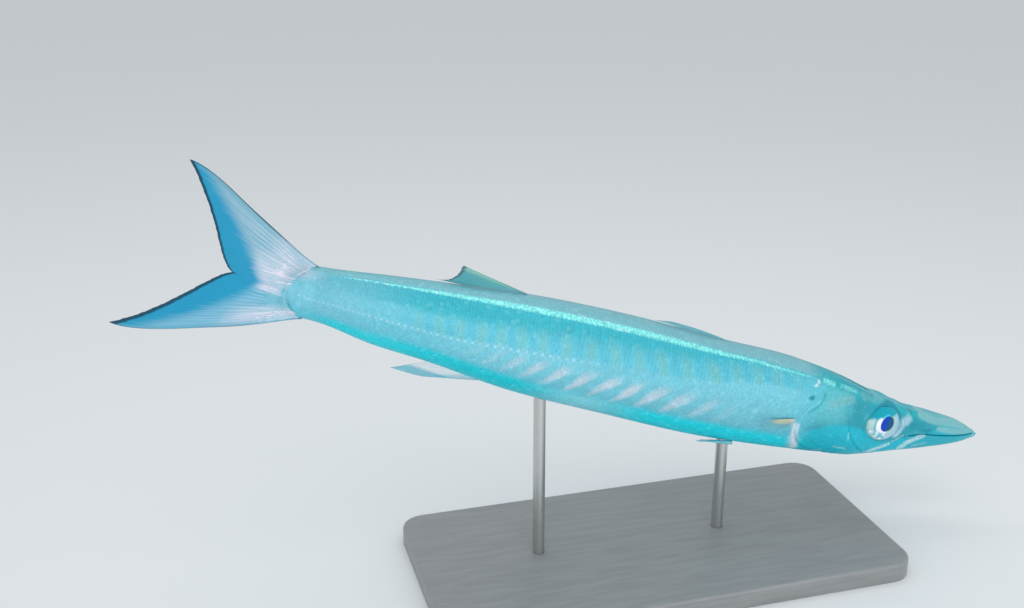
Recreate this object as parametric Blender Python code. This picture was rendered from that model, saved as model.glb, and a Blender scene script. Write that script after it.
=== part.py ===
"""A barracuda of the chevron-barred kind, life size, swimming nose down with its tail
flexed to its left, held by two rods on a flat base.

Every piece of the fish is first shaped on a straight axis: x runs forward from the snout
tip, so that it is negative along the body, y points to the fish's left and z up. Cuts
and gaps are made there. Then each point is carried onto the bent axis of the pose.
Lengths are metres, and a station is a distance behind the snout tip as a part of the
standard length, from the snout tip to the root of the tail fin.
"""

import math

import bmesh
import bpy
import numpy as np

MM = 0.001
STANDARD_LENGTH = 0.630
GAP = 0.0003

# The pose: the slope of the body axis, its slow turns and the flex of the tail fin
NOSE_DOWN = math.radians(17.8)
SLOPE_CHANGE = 0.155
TURN_LINEAR = -0.23
TURN_SQUARE = -0.25
TURN_CUBE = -0.73
TAIL_FLEX = math.radians(38.0)
TAIL_FLEX_START = 0.96
TAIL_FLEX_RUN = 0.12
AXIS_STEPS = 500
AXIS_END = 1.25

# Where the middle of the body stands above the middle of the base
BODY_HEIGHT = 0.172

# Body stations: part of the standard length, then height above the axis, depth below it
# and half width in millimetres, then how square the section is (2 is an ellipse)
BODY_STATIONS = (
    (0.000, 0.6, 2.6, 1.8, 2.0),
    (0.030, 8.2, 10.6, 9.7, 2.1),
    (0.080, 12.1, 20.8, 15.2, 2.3),
    (0.130, 14.2, 28.9, 18.3, 2.5),
    (0.180, 21.0, 36.4, 23.2, 2.5),
    (0.240, 30.8, 40.6, 27.4, 2.3),
    (0.300, 37.0, 42.8, 28.9, 2.2),
    (0.420, 39.8, 45.2, 30.5, 2.1),
    (0.550, 42.6, 42.2, 30.8, 2.1),
    (0.700, 39.8, 37.8, 28.1, 2.1),
    (0.800, 33.8, 29.8, 20.9, 2.1),
    (0.880, 28.5, 25.4, 14.6, 2.1),
    (0.950, 23.4, 18.0, 8.9, 2.1),
    (1.000, 21.2, 17.6, 6.6, 2.1),
)

# Where the body is divided
HEAD_END = 0.302
TORSO_SPLIT = 0.560
STALK_START = 0.860

# The rounded end of the tail stalk, which carries the tail fin
STALK_ROUND_START = 0.966
STALK_ROUND_END = 1.001
STALK_ROUND_POWER = 2.6
STALK_END_HALF_WIDTH = 2.0 * MM

# The mouth: its line from the tip back, then the rear edge of the lower jaw down
MOUTH_LINE = ((0.000, 2.0), (0.030, -0.4), (0.066, -2.8), (0.095, -3.6), (0.116, -6.8))
JAW_REAR_EDGE = ((0.134, -16.0), (0.146, -27.0), (0.150, -44.0))
UPPER_JAW_SETBACK = 0.0065
JAW_DEPTH = 80.0
JAW_AHEAD = 0.010
MOUTH_CUT_AHEAD = 4.0 * MM
MOUTH_CUT_RISE = 20.0 * MM
LIP_SWELL = 0.8 * MM
LIP_WIDTH = 1.9 * MM

# The eye and its rim. The eyes stand wider behind than in front, as the head does
EYE_STATION = 0.1640
EYE_HEIGHT = 0.8 * MM
EYE_HALF_LENGTH = 18.6 * MM
EYE_HALF_HEIGHT = 15.4 * MM
EYE_HALF_DEPTH = 9.0 * MM
EYE_SIDE = 17.2 * MM
EYE_WIDENING = 0.148
ORBIT_RIM_SWELL = 1.1 * MM
ORBIT_RIM_RADIUS = 1.14
ORBIT_RIM_WIDTH = 0.13

# The gill cover: its outline as station and height, its thickness and how proud it is
GILL_OUTLINE = (
    (0.2230, 20.0), (0.2440, 23.5), (0.2640, 22.0), (0.2820, 12.0), (0.2950, 1.0),
    (0.2982, -9.0), (0.2940, -19.0), (0.2820, -28.0), (0.2620, -33.0), (0.2350, -32.0),
    (0.2170, -24.0), (0.2190, -8.0), (0.2230, 6.0),
)
GILL_THICKNESS = 4.0 * MM
GILL_PROUD = 0.7 * MM
GILL_CUT_PROUD = 6.0 * MM
CHEEK_RIDGE_STATION = 0.210
CHEEK_RIDGE_SWELL = 0.7 * MM
CHEEK_RIDGE_WIDTH = 3.2 * MM

# Nostrils: station, height, radius
NOSTRILS = ((0.1065, 10.6, 1.5), (0.0960, 9.0, 0.9))
NOSTRIL_STRETCH = np.array([1.35, 1.1, 0.9])

# Tail fin: outlines of the lobes as cubic curves of station and height in standard lengths
UPPER_LOBE_LEADING = ((0.966, 0.0360), (1.010, 0.0480), (1.100, 0.1080), (1.1430, 0.1030))
UPPER_LOBE_TRAILING = ((1.1430, 0.1030), (1.0850, 0.0500), (1.0790, 0.0005), (1.0580, 0.0004))
LOWER_LOBE_LEADING = ((0.970, -0.0275), (1.014, -0.0370), (1.130, -0.1225), (1.1770, -0.1205))
LOWER_LOBE_TRAILING = ((1.1770, -0.1205), (1.1150, -0.0750), (1.0780, -0.0040), (1.0580, -0.0004))
UPPER_LOBE_RAYS = 9
LOWER_LOBE_RAYS = 8
LOBE_ROWS = 9

# Second dorsal fin: ray roots run along the back, ray tips along a hollow rear margin
DORSAL_ROOT = (0.703, 0.786)
DORSAL_MARGIN = ((0.797, 0.0785), (0.798, 0.0550), (0.824, 0.0540))
DORSAL_RAYS = 10
# Anal fin: folded back under the belly
ANAL_ROOT = (0.728, 0.800)
ANAL_MARGIN = ((0.800, -0.0680), (0.823, -0.0670), (0.844, -0.0650))
ANAL_RAYS = 10
MEDIAN_FIN_ROWS = 5

# First dorsal fin: five spines folded flat along the back
SPINE_COUNT = 5
SPINE_ROOT_FIRST = 0.415
SPINE_ROOT_STEP = 0.0155
SPINE_TIP_FIRST = 0.500
SPINE_TIP_STEP = 0.0055
SPINE_FOLD_HEIGHT = 2.8 * MM

# Half thicknesses of the web between rays, at the root and at the margin, how much a ray
# stands out of it at both, and how far the rays vary
WEB_ROOT_HALF = 0.42 * MM
WEB_EDGE_HALF = 0.26 * MM
RAY_ROOT_RISE = 0.38 * MM
RAY_EDGE_RISE = 0.12 * MM
RAY_VARIATION = 0.15
RAY_SEED = 7
LOBE_ROOT_HALF = 1.25 * MM

# Paired fins: root station and section angle below the flank, front or upper end first
PECTORAL = {
    "root": ((0.3045, -6.0), (0.3060, -14.0)),
    "lengths": (38.0, 26.0),
    "drops": (8.0, 14.0),
    "stand_off": 8.0,
    "rays": 7,
}
PELVIC = {
    "root": ((0.3660, -66.0), (0.3830, -76.0)),
    "lengths": (36.0, 16.0),
    "drops": (-4.0, 8.0),
    "stand_off": 7.0,
    "rays": 6,
}
PAIRED_ROOT_HALF = 0.85 * MM
PAIRED_ROWS = 5

# The display stand
BASE_LENGTH = 0.400
BASE_WIDTH = 0.190
BASE_THICKNESS = 0.016
BASE_CORNER = 0.020
BASE_EDGE_ROUND = 0.002
ROD_RADIUS = 0.005
ROD_STATIONS = {"stand_rod_front": 0.370, "stand_rod_rear": 0.640}
ROD_SIDES = 24

# Points round a section of the body, and the depth that a cutter reaches past the skin
BODY_SIDES = 36
CUTTER_REACH = 0.060

# Rings along each division: the head's snout rings are given, the rest are even
SNOUT_RINGS = (0.000, 0.003, 0.009, 0.018)
HEAD_RINGS = 38
TORSO_FRONT_RINGS = 14
TORSO_REAR_RINGS = 16
STALK_RINGS = 7
STALK_ROUND_ANGLES = (24.0, 42.0, 58.0, 72.0, 83.0)

# Finishes: colour, roughness and how metallic
FLANK_LOOK = ((0.42, 0.62, 0.64, 1.0), 0.35, 0.0)
FIN_LOOK = ((0.42, 0.52, 0.60, 1.0), 0.40, 0.0)
PALE_FIN_LOOK = ((0.80, 0.74, 0.55, 1.0), 0.40, 0.0)
EYE_LOOK = ((0.05, 0.08, 0.30, 1.0), 0.10, 0.0)
BASE_LOOK = ((0.55, 0.55, 0.53, 1.0), 0.45, 0.0)
STEEL_LOOK = ((0.62, 0.62, 0.60, 1.0), 0.30, 1.0)


def clear_scene():
    """Remove every object that the scene starts with."""
    for item in list(bpy.data.objects):
        bpy.data.objects.remove(item, do_unlink=True)


def collection_named(name):
    """A new collection linked to the scene."""
    group = bpy.data.collections.new(name)
    bpy.context.scene.collection.children.link(group)
    return group


def material_named(name, colour, roughness, metallic):
    """A Principled material of one colour."""
    material = bpy.data.materials.new(name)
    material.use_nodes = True
    shader = material.node_tree.nodes["Principled BSDF"]
    shader.inputs["Base Color"].default_value = colour
    shader.inputs["Roughness"].default_value = roughness
    shader.inputs["Metallic"].default_value = metallic
    material.diffuse_color = colour
    return material


def smooth_step(value):
    """0 below 0, 1 above 1 and a soft rise between."""
    value = np.clip(value, 0.0, 1.0)
    return value * value * (3.0 - 2.0 * value)


def smooth_through(stations, values, wanted):
    """A smooth curve through values given at stations, read at the wanted stations."""
    stations = np.asarray(stations, float)
    values = np.asarray(values, float)
    steps = np.diff(stations)
    rates = np.diff(values) / steps
    slopes = np.empty(len(values))
    slopes[1:-1] = (rates[:-1] * steps[1:] + rates[1:] * steps[:-1]) / (steps[1:] + steps[:-1])
    slopes[0] = rates[0]
    slopes[-1] = rates[-1]
    wanted = np.asarray(wanted, float)
    index = np.clip(np.searchsorted(stations, wanted) - 1, 0, len(steps) - 1)
    step = steps[index]
    part = np.clip((wanted - stations[index]) / step, 0.0, 1.0)
    rise = part * part * (3.0 - 2.0 * part)
    start_pull = part * (1.0 - part) ** 2
    end_pull = -part * part * (1.0 - part)
    level = values[index] * (1.0 - rise) + values[index + 1] * rise
    return level + step * (start_pull * slopes[index] + end_pull * slopes[index + 1])


def cubic(points, part):
    """Points along a cubic curve with four control points, for parts from 0 to 1."""
    part = np.asarray(part, float)[..., None]
    first, second, third, fourth = np.asarray(points, float)
    rest = 1.0 - part
    ends = rest ** 3 * first + part ** 3 * fourth
    return ends + 3.0 * rest * part * (rest * second + part * third)


def quadratic(points, part):
    """Points along a curve with three control points, for parts from 0 to 1."""
    part = np.asarray(part, float)[..., None]
    first, second, third = np.asarray(points, float)
    rest = 1.0 - part
    return rest ** 2 * first + 2.0 * rest * part * second + part ** 2 * third


def body_size(station):
    """Height above the axis, depth below it, half width and squareness at a station."""
    table = np.asarray(BODY_STATIONS)
    above, below, half_width, power = (
        smooth_through(table[:, 0], table[:, column], station) for column in (1, 2, 3, 4)
    )
    return above * MM, below * MM, half_width * MM, power


def stalk_round(station):
    """1 along the body, falling to 0 where the rounded end of the tail stalk closes."""
    run = (station - STALK_ROUND_START) / (STALK_ROUND_END - STALK_ROUND_START)
    run = np.clip(run, 0.0, 1.0)
    return (1.0 - run ** STALK_ROUND_POWER) ** (1.0 / STALK_ROUND_POWER)


def curve_height(points, station):
    """Height in metres of a line given as station and millimetre pairs."""
    table = np.asarray(points)
    return np.interp(station, table[:, 0], table[:, 1]) * MM


def head_relief(station, height):
    """How far lips, orbit rim and cheek ridge stand out of the skin of the head."""
    mouth_end = MOUTH_LINE[-1][0]
    near_line = np.exp(-((height - curve_height(MOUTH_LINE, station)) / LIP_WIDTH) ** 2)
    lips = LIP_SWELL * near_line * smooth_step((mouth_end + 0.012 - station) / 0.02)
    lips = lips * smooth_step(station / 0.02)
    along = (station - EYE_STATION) * STANDARD_LENGTH / EYE_HALF_LENGTH
    across = (height - EYE_HEIGHT) / EYE_HALF_HEIGHT
    ring = (np.hypot(along, across) - ORBIT_RIM_RADIUS) / ORBIT_RIM_WIDTH
    rim = ORBIT_RIM_SWELL * np.exp(-ring ** 2)
    off_ridge = (station - CHEEK_RIDGE_STATION) * STANDARD_LENGTH / CHEEK_RIDGE_WIDTH
    ridge = CHEEK_RIDGE_SWELL * np.exp(-off_ridge ** 2)
    ridge = ridge * smooth_step((height + 0.034) / 0.010) * smooth_step((0.024 - height) / 0.010)
    return lips + rim + ridge


def skin_points(station, angle, lift=0.0):
    """Points on the straight body's skin at stations and section angles in degrees, where
    0 is the left flank, 90 the back, 180 the right flank and 270 the belly."""
    station, angle = np.broadcast_arrays(np.asarray(station, float), np.asarray(angle, float))
    turn = np.radians(angle)
    above, below, half_width, power = body_size(np.minimum(station, STALK_ROUND_END))
    closing = stalk_round(station)
    height = np.where(np.sin(turn) >= 0.0, above, below) * closing
    narrow = smooth_step((station - STALK_ROUND_START) / (STALK_ROUND_END - STALK_ROUND_START))
    half_width = half_width * (1.0 - narrow) + STALK_END_HALF_WIDTH * narrow
    cosine = np.sign(np.cos(turn)) * np.abs(np.cos(turn)) ** (2.0 / power)
    sine = np.sign(np.sin(turn)) * np.abs(np.sin(turn)) ** (2.0 / power)
    side = half_width * cosine
    rise = height * sine
    out_side = np.cos(turn) / half_width
    out_rise = np.sin(turn) / np.maximum(height, 1e-6)
    size = np.hypot(out_side, out_rise)
    swell = lift + np.where(station < HEAD_END, head_relief(station, rise), 0.0)
    side = side + swell * out_side / size
    rise = rise + swell * out_rise / size
    return np.stack([-station * STANDARD_LENGTH, side, rise], -1)


def flank_side(station, height):
    """Half width of the plain straight body at a height."""
    above, below, half_width, power = body_size(station)
    limit = np.where(height >= 0.0, above, below)
    return half_width * (1.0 - np.clip(np.abs(height / limit), 0.0, 1.0) ** power) ** (1.0 / power)


def bent_axis():
    """Points, rearward, leftward and upward directions along the bent axis of the pose."""
    station = np.linspace(0.0, AXIS_END, AXIS_STEPS + 1)
    middle = np.minimum(station, 1.0) - 0.5
    turn = TURN_LINEAR * middle + TURN_SQUARE * (middle ** 2 - 1.0 / 12.0)
    turn = turn + TURN_CUBE * middle ** 3
    turn = turn + TAIL_FLEX * smooth_step((station - TAIL_FLEX_START) / TAIL_FLEX_RUN)
    slope = NOSE_DOWN + SLOPE_CHANGE * middle
    rearward = np.stack(
        [-np.cos(turn) * np.cos(slope), np.sin(turn) * np.cos(slope), np.sin(slope)], 1
    )
    spacing = STANDARD_LENGTH * AXIS_END / AXIS_STEPS
    steps = (rearward[1:] + rearward[:-1]) * 0.5 * spacing
    points = np.vstack([np.zeros(3), np.cumsum(steps, axis=0)])
    points = points - points[station <= 1.0].mean(axis=0) + (0.0, 0.0, BODY_HEIGHT)
    leftward = np.cross(rearward, (0.0, 0.0, 1.0))
    leftward = leftward / np.linalg.norm(leftward, axis=1)[:, None]
    return station, points, rearward, leftward, np.cross(leftward, rearward)


AXIS = bent_axis()


def posed(points):
    """Carry points from the straight axis onto the bent one."""
    points = np.asarray(points, float)
    station = -points[..., 0] / STANDARD_LENGTH
    table, centres, rearward, leftward, upward = AXIS

    def read(values):
        return np.stack([np.interp(station, table, values[:, k]) for k in range(3)], -1)

    before = np.minimum(station, 0.0)[..., None] * STANDARD_LENGTH
    place = read(centres) + read(rearward) * before
    return place + read(leftward) * points[..., 1:2] + read(upward) * points[..., 2:3]


def new_object(name, vertices, faces, group):
    """A mesh object from vertices and faces, with its faces turned outward."""
    mesh = bpy.data.meshes.new(name)
    mesh.from_pydata([tuple(vertex) for vertex in vertices], [], faces)
    mesh.update()
    item = bpy.data.objects.new(name, mesh)
    group.objects.link(item)
    shape = bmesh.new()
    shape.from_mesh(mesh)
    bmesh.ops.recalc_face_normals(shape, faces=shape.faces)
    shape.to_mesh(mesh)
    shape.free()
    return item


def loft(name, rings, group):
    """A closed skin over rings of points, with a flat face at each end."""
    rings = np.asarray(rings)
    count, sides, _ = rings.shape
    faces = []
    for ring in range(count - 1):
        for side in range(sides):
            following = (side + 1) % sides
            low = ring * sides
            high = low + sides
            faces.append((low + side, low + following, high + following))
            faces.append((low + side, high + following, high + side))
    faces.append(tuple(range(sides)))
    faces.append(tuple((count - 1) * sides + side for side in range(sides)))
    return new_object(name, rings.reshape(-1, 3), faces, group)


def fin_sheet(name, middle, normals, half, group):
    """A closed thin sheet about a grid of points: rays by rows. Both faces are split into
    triangles alike."""
    rays, rows, _ = middle.shape
    offset = normals * half[..., None]
    vertices = np.concatenate([(middle + offset).reshape(-1, 3), (middle - offset).reshape(-1, 3)])
    other = rays * rows
    faces = []
    for ray in range(rays - 1):
        for row in range(rows - 1):
            corner = ray * rows + row
            next_ray = corner + rows
            for face in ((corner, next_ray, next_ray + 1), (corner, next_ray + 1, corner + 1)):
                faces.append(face)
                faces.append(tuple(other + index for index in reversed(face)))
    border = list(range(rows - 1))
    border += [ray * rows + rows - 1 for ray in range(rays - 1)]
    border += [(rays - 1) * rows + row for row in range(rows - 1, 0, -1)]
    border += [ray * rows for ray in range(rays - 1, 0, -1)]
    for here, there in zip(border, border[1:] + border[:1]):
        faces.append((here, there, other + there))
        faces.append((here, other + there, other + here))
    return new_object(name, vertices, faces, group)


def cut(item, cutter, operation="DIFFERENCE"):
    """Apply one Boolean to an object and remove the cutter."""
    modifier = item.modifiers.new("cut", "BOOLEAN")
    modifier.operation = operation
    modifier.solver = "EXACT"
    modifier.object = cutter
    apply_modifiers(item)
    bpy.data.objects.remove(cutter, do_unlink=True)
    keep_largest(item)


def apply_modifiers(item):
    """Replace the object's mesh with its evaluated mesh."""
    graph = bpy.context.evaluated_depsgraph_get()
    graph.update()
    mesh = bpy.data.meshes.new_from_object(item.evaluated_get(graph))
    item.modifiers.clear()
    old = item.data
    item.data = mesh
    bpy.data.meshes.remove(old)


def keep_largest(item):
    """Keep the closed surface with the largest volume."""
    shape = bmesh.new()
    shape.from_mesh(item.data)
    bmesh.ops.remove_doubles(shape, verts=shape.verts, dist=0.00001)
    bmesh.ops.triangulate(shape, faces=shape.faces)
    shape.faces.ensure_lookup_table()
    unseen = set(shape.faces)
    groups = []
    while unseen:
        start = unseen.pop()
        group = [start]
        queue = [start]
        while queue:
            face = queue.pop()
            for edge in face.edges:
                for neighbour in edge.link_faces:
                    if neighbour in unseen:
                        unseen.remove(neighbour)
                        group.append(neighbour)
                        queue.append(neighbour)
        groups.append(group)

    def volume(group):
        total = 0.0
        for face in group:
            first, second, third = (vertex.co for vertex in face.verts)
            total += first.dot(second.cross(third)) / 6.0
        return abs(total)

    groups.sort(key=volume, reverse=True)
    for group in groups[1:]:
        bmesh.ops.delete(shape, geom=group, context="FACES")
    loose = [vertex for vertex in shape.verts if not vertex.link_faces]
    bmesh.ops.delete(shape, geom=loose, context="VERTS")
    shape.to_mesh(item.data)
    shape.free()


def pose_object(item):
    """Carry every vertex of a straight piece onto the bent axis."""
    shape = bmesh.new()
    shape.from_mesh(item.data)
    bmesh.ops.triangulate(shape, faces=shape.faces)
    shape.to_mesh(item.data)
    shape.free()
    count = len(item.data.vertices)
    flat = np.empty(count * 3)
    item.data.vertices.foreach_get("co", flat)
    item.data.vertices.foreach_set("co", posed(flat.reshape(-1, 3)).ravel())
    item.data.update()


def body_rings(stations, lift=0.0):
    """Rings of skin points at stations."""
    angles = np.arange(BODY_SIDES) * 360.0 / BODY_SIDES
    return skin_points(np.asarray(stations)[:, None], angles[None, :], lift)


def prism(name, outline, half_width, group):
    """An outline of station and height pairs carried across the body."""
    outline = np.asarray(outline, float)
    along = -outline[:, 0] * STANDARD_LENGTH
    rise = outline[:, 1]
    left = np.stack([along, np.full_like(along, half_width), rise], 1)
    right = left * (1.0, -1.0, 1.0)
    return loft(name, [left, right], group)


def mouth_cutter(group):
    """A thin sheet along the mouth line and down the rear edge of the lower jaw. Ahead of
    the upper jaw it opens, so that the lower jaw reaches past the upper one."""
    line = np.asarray(MOUTH_LINE + JAW_REAR_EDGE, float)
    points = np.stack([line[:, 0] * STANDARD_LENGTH, line[:, 1] * MM], 1)
    ahead = points[0] - (MOUTH_CUT_AHEAD, 0.0)
    below = points[-1] - (-0.001, MOUTH_CUT_RISE)
    points = np.vstack([ahead, points, below])
    tangents = np.gradient(points, axis=0)
    tangents = tangents / np.linalg.norm(tangents, axis=1)[:, None]
    across = np.stack([-tangents[:, 1], tangents[:, 0]], 1) * GAP * 0.5
    upper = points + across
    lower = points - across
    setback = UPPER_JAW_SETBACK * STANDARD_LENGTH
    lift_to = np.array([
        [-MOUTH_CUT_AHEAD, MOUTH_CUT_RISE], [setback - 0.002, MOUTH_CUT_RISE], [setback, 0.0],
    ])
    lift_to[2, 1] = np.interp(setback, upper[:, 0], upper[:, 1])
    upper = np.vstack([lift_to, upper[upper[:, 0] > setback]])
    outline = np.vstack([upper, lower[::-1]])
    outline[:, 0] /= STANDARD_LENGTH
    return prism("mouth_cutter", outline, CUTTER_REACH, group)


def closed_curve(points, count):
    """Points along a smooth closed curve through the given ones."""
    points = np.asarray(points, float)
    total = len(points)
    wrapped = np.vstack([points[-2:], points, points[:3]])
    knots = np.arange(-2, total + 3)
    wanted = np.arange(count) * total / count
    return np.stack([smooth_through(knots, wrapped[:, axis], wanted) for axis in (0, 1)], 1)


def gill_patch(name, side, grow, proud, thickness, group):
    """A curved plate in the skin of the gill region, on the left (1) or right (-1)."""
    outline = closed_curve(GILL_OUTLINE, 30) * (STANDARD_LENGTH, MM)
    centre = outline.mean(axis=0)
    spokes = outline - centre
    reach = np.linalg.norm(spokes, axis=1)[:, None]
    outline = centre + spokes * (1.0 + grow / reach)
    rings = [centre + (outline - centre) * part for part in (0.06, 0.40, 0.74, 1.0)]

    def layer(lift):
        made = []
        for ring in rings:
            out = flank_side(ring[:, 0] / STANDARD_LENGTH, ring[:, 1]) + lift
            made.append(np.stack([-ring[:, 0], side * out, ring[:, 1]], 1))
        return made

    return loft(name, layer(proud) + layer(-thickness)[::-1], group)


def ellipsoid(name, centre, radii, group, segments=24, rings=12, widening=0.0):
    """A sphere stretched to three half axes, in the straight body. Its rear may lean away
    from the middle plane, by a widening for each metre."""
    shape = bmesh.new()
    bmesh.ops.create_uvsphere(shape, u_segments=segments, v_segments=rings, radius=1.0)
    mesh = bpy.data.meshes.new(name)
    shape.to_mesh(mesh)
    shape.free()
    item = bpy.data.objects.new(name, mesh)
    group.objects.link(item)
    count = len(mesh.vertices)
    flat = np.empty(count * 3)
    mesh.vertices.foreach_get("co", flat)
    points = flat.reshape(-1, 3)[:, (0, 2, 1)] * radii + centre
    points[:, 1] += math.copysign(widening, centre[1]) * (centre[0] - points[:, 0])
    mesh.vertices.foreach_set("co", points.ravel())
    mesh.flip_normals()
    mesh.update()
    return item


def eye_centre(side):
    """Middle of an eye on the left (1) or right (-1)."""
    return (-EYE_STATION * STANDARD_LENGTH, side * EYE_SIDE, EYE_HEIGHT)


def eye_radii(extra=0.0):
    """Half axes of an eye, grown by a gap for its socket."""
    return np.array([EYE_HALF_LENGTH, EYE_HALF_DEPTH, EYE_HALF_HEIGHT]) + extra


def make_head(parts, cutters):
    """The head with sockets, nostrils and gill recesses, and the lower jaw cut free."""
    rest = np.linspace(BODY_STATIONS[1][0], HEAD_END, HEAD_RINGS)
    stations = np.concatenate([SNOUT_RINGS, rest])
    block = loft("head", body_rings(stations), parts)
    jaw_region = np.asarray(MOUTH_LINE + JAW_REAR_EDGE, float) * (1.0, MM)
    jaw_region = np.vstack([
        (-JAW_AHEAD, MOUTH_LINE[0][1] * MM),
        jaw_region,
        (JAW_REAR_EDGE[-1][0], -JAW_DEPTH * MM),
        (-JAW_AHEAD, -JAW_DEPTH * MM),
    ])
    jaw = block.copy()
    jaw.data = block.data.copy()
    jaw.name = "lower_jaw"
    parts.objects.link(jaw)
    cut(block, mouth_cutter(cutters))
    region = prism("jaw_region", jaw_region, CUTTER_REACH, cutters)
    cut(jaw, region, "INTERSECT")
    cut(jaw, mouth_cutter(cutters))
    for side in (1, -1):
        socket = ellipsoid(
            "socket", eye_centre(side), eye_radii(GAP), cutters, widening=EYE_WIDENING,
        )
        cut(block, socket)
        for station, height, radius in NOSTRILS:
            height = height * MM
            out = float(flank_side(station, height))
            centre = (-station * STANDARD_LENGTH, side * out, height)
            radii = NOSTRIL_STRETCH * radius * MM
            cut(block, ellipsoid("nostril", centre, radii, cutters, 12, 8))
        recess = gill_patch("recess", side, GAP, GILL_CUT_PROUD, GILL_THICKNESS + GAP, cutters)
        cut(block, recess)
    return block, jaw


def make_fin_grid(roots, tips, rows):
    """Straight rays from roots to tips, as a grid of points rays by rows."""
    part = np.linspace(0.0, 1.0, rows)[None, :, None]
    return roots[:, None, :] * (1.0 - part) + tips[:, None, :] * part


def in_plane(points):
    """Points of the middle plane from pairs of station and height in standard lengths."""
    points = np.asarray(points, float) * STANDARD_LENGTH
    return np.stack([-points[..., 0], np.zeros(points.shape[:-1]), points[..., 1]], -1)


def ribbed(columns, rows, root_half=WEB_ROOT_HALF, fall=0.8):
    """Half thickness over a fin's grid: a web that thins from root to margin, and a ray
    raised out of both faces on every other column, each a little unlike the next."""
    along = np.linspace(0.0, 1.0, rows)[None, :]
    root_half = np.broadcast_to(root_half, (columns,))[:, None]
    web = WEB_EDGE_HALF + (root_half - WEB_EDGE_HALF) * (1.0 - along) ** fall
    draw = np.random.default_rng(RAY_SEED).uniform(-1.0, 1.0, columns)
    ray = np.where(np.arange(columns) % 2 == 0, 1.0 + RAY_VARIATION * draw, 0.0)[:, None]
    return web + ray * (RAY_EDGE_RISE + (RAY_ROOT_RISE - RAY_EDGE_RISE) * (1.0 - along))


def back_height(station):
    """Height of the back, in standard lengths."""
    return body_size(station)[0] / STANDARD_LENGTH


def belly_height(station):
    """Height of the belly line, in standard lengths, which is negative."""
    return -body_size(station)[1] / STANDARD_LENGTH


def median_fin(name, root, margin, rays, edge, sign, parts):
    """A fin in the middle plane with its roots a gap off the back or belly."""
    columns = 2 * rays - 1
    along = np.linspace(0.0, 1.0, columns)
    station = root[0] + (root[1] - root[0]) * along
    roots = np.stack([station, edge(station) + sign * GAP * 1.3 / STANDARD_LENGTH], 1)
    tips = quadratic(margin, along)
    middle = make_fin_grid(in_plane(roots), in_plane(tips), MEDIAN_FIN_ROWS)
    normals = np.zeros_like(middle)
    normals[..., 1] = 1.0
    half = ribbed(columns, MEDIAN_FIN_ROWS)
    return fin_sheet(name, middle, normals, half, parts)


def first_dorsal(parts):
    """Spines and their web folded flat along the back."""
    columns = 2 * SPINE_COUNT - 1
    index = np.linspace(0.0, SPINE_COUNT - 1.0, columns)
    root_station = SPINE_ROOT_FIRST + SPINE_ROOT_STEP * index
    tip_station = SPINE_TIP_FIRST + SPINE_TIP_STEP * index
    lift = (GAP * 1.3 + SPINE_FOLD_HEIGHT * (1.0 - index / SPINE_COUNT)) / STANDARD_LENGTH
    rows = 6
    part = np.linspace(0.0, 1.0, rows)[None, :]
    station = root_station[:, None] * (1.0 - part) + tip_station[:, None] * part
    rise = lift[:, None] * np.sin(part * math.pi * 0.62) ** 0.8
    height = back_height(station) + GAP * 1.3 / STANDARD_LENGTH + rise
    middle = in_plane(np.stack([station, height], -1))
    normals = np.zeros_like(middle)
    normals[..., 1] = 1.0
    half = ribbed(columns, rows)
    return fin_sheet("first_dorsal_fin", middle, normals, half, parts)


def stalk_end_curve(part, sign):
    """Station and height along the rounded end of the stalk, from its edge (0) to the
    middle (1), a gap off it, in standard lengths."""
    turn = part * math.pi / 2.0
    power = 2.0 / STALK_ROUND_POWER
    run = np.sin(turn) ** power
    station = STALK_ROUND_START + (STALK_ROUND_END - STALK_ROUND_START) * run
    above, below, _, _ = body_size(station)
    edge = (above if sign > 0 else -below) / STANDARD_LENGTH
    height = edge * np.cos(turn) ** power
    curve = np.stack([station, height], 1)
    tangent = np.gradient(curve, axis=0)
    tangent = tangent / np.linalg.norm(tangent, axis=1)[:, None]
    outward = np.stack([-tangent[:, 1] * sign, tangent[:, 0] * sign], 1)
    return curve + outward * GAP * 1.5 / STANDARD_LENGTH


def tail_lobe(name, leading, trailing, rays, sign, parts):
    """One lobe of the tail fin. Rays fan from the stalk's end and sweep toward the tip."""
    columns = 2 * rays
    fan = np.linspace(0.0, 1.0, columns)
    roots = stalk_end_curve(0.03 + 0.97 * fan, sign)
    roots[-1, 1] = sign * GAP * 0.5 / STANDARD_LENGTH
    part = np.linspace(0.0, 1.0, LOBE_ROWS)
    lead = cubic(leading, part)
    lead = lead + (roots[0] - lead[0]) * (1.0 - part[:, None]) ** 2
    tips = cubic(trailing, fan ** 1.15)
    inner = roots[-1] * (1.0 - part[:, None]) + tips[-1] * part[:, None]
    grid = np.empty((columns, LOBE_ROWS, 2))
    for ray in range(columns):
        share = fan[ray]
        chord = roots[ray] * (1.0 - part[:, None]) + tips[ray] * part[:, None]
        lead_chord = lead[0] * (1.0 - part[:, None]) + lead[-1] * part[:, None]
        inner_chord = inner[0] * (1.0 - part[:, None]) + inner[-1] * part[:, None]
        bow = (lead - lead_chord) * (1.0 - share) ** 1.5 + (inner - inner_chord) * share
        grid[ray] = chord + bow
    middle = in_plane(grid)
    normals = np.zeros_like(middle)
    normals[..., 1] = 1.0
    root_half = LOBE_ROOT_HALF * (0.40 + 0.60 * smooth_step(fan * 2.5))
    half = ribbed(columns, LOBE_ROWS, root_half, 1.4)
    return fin_sheet(name, middle, normals, half, parts)


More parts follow.
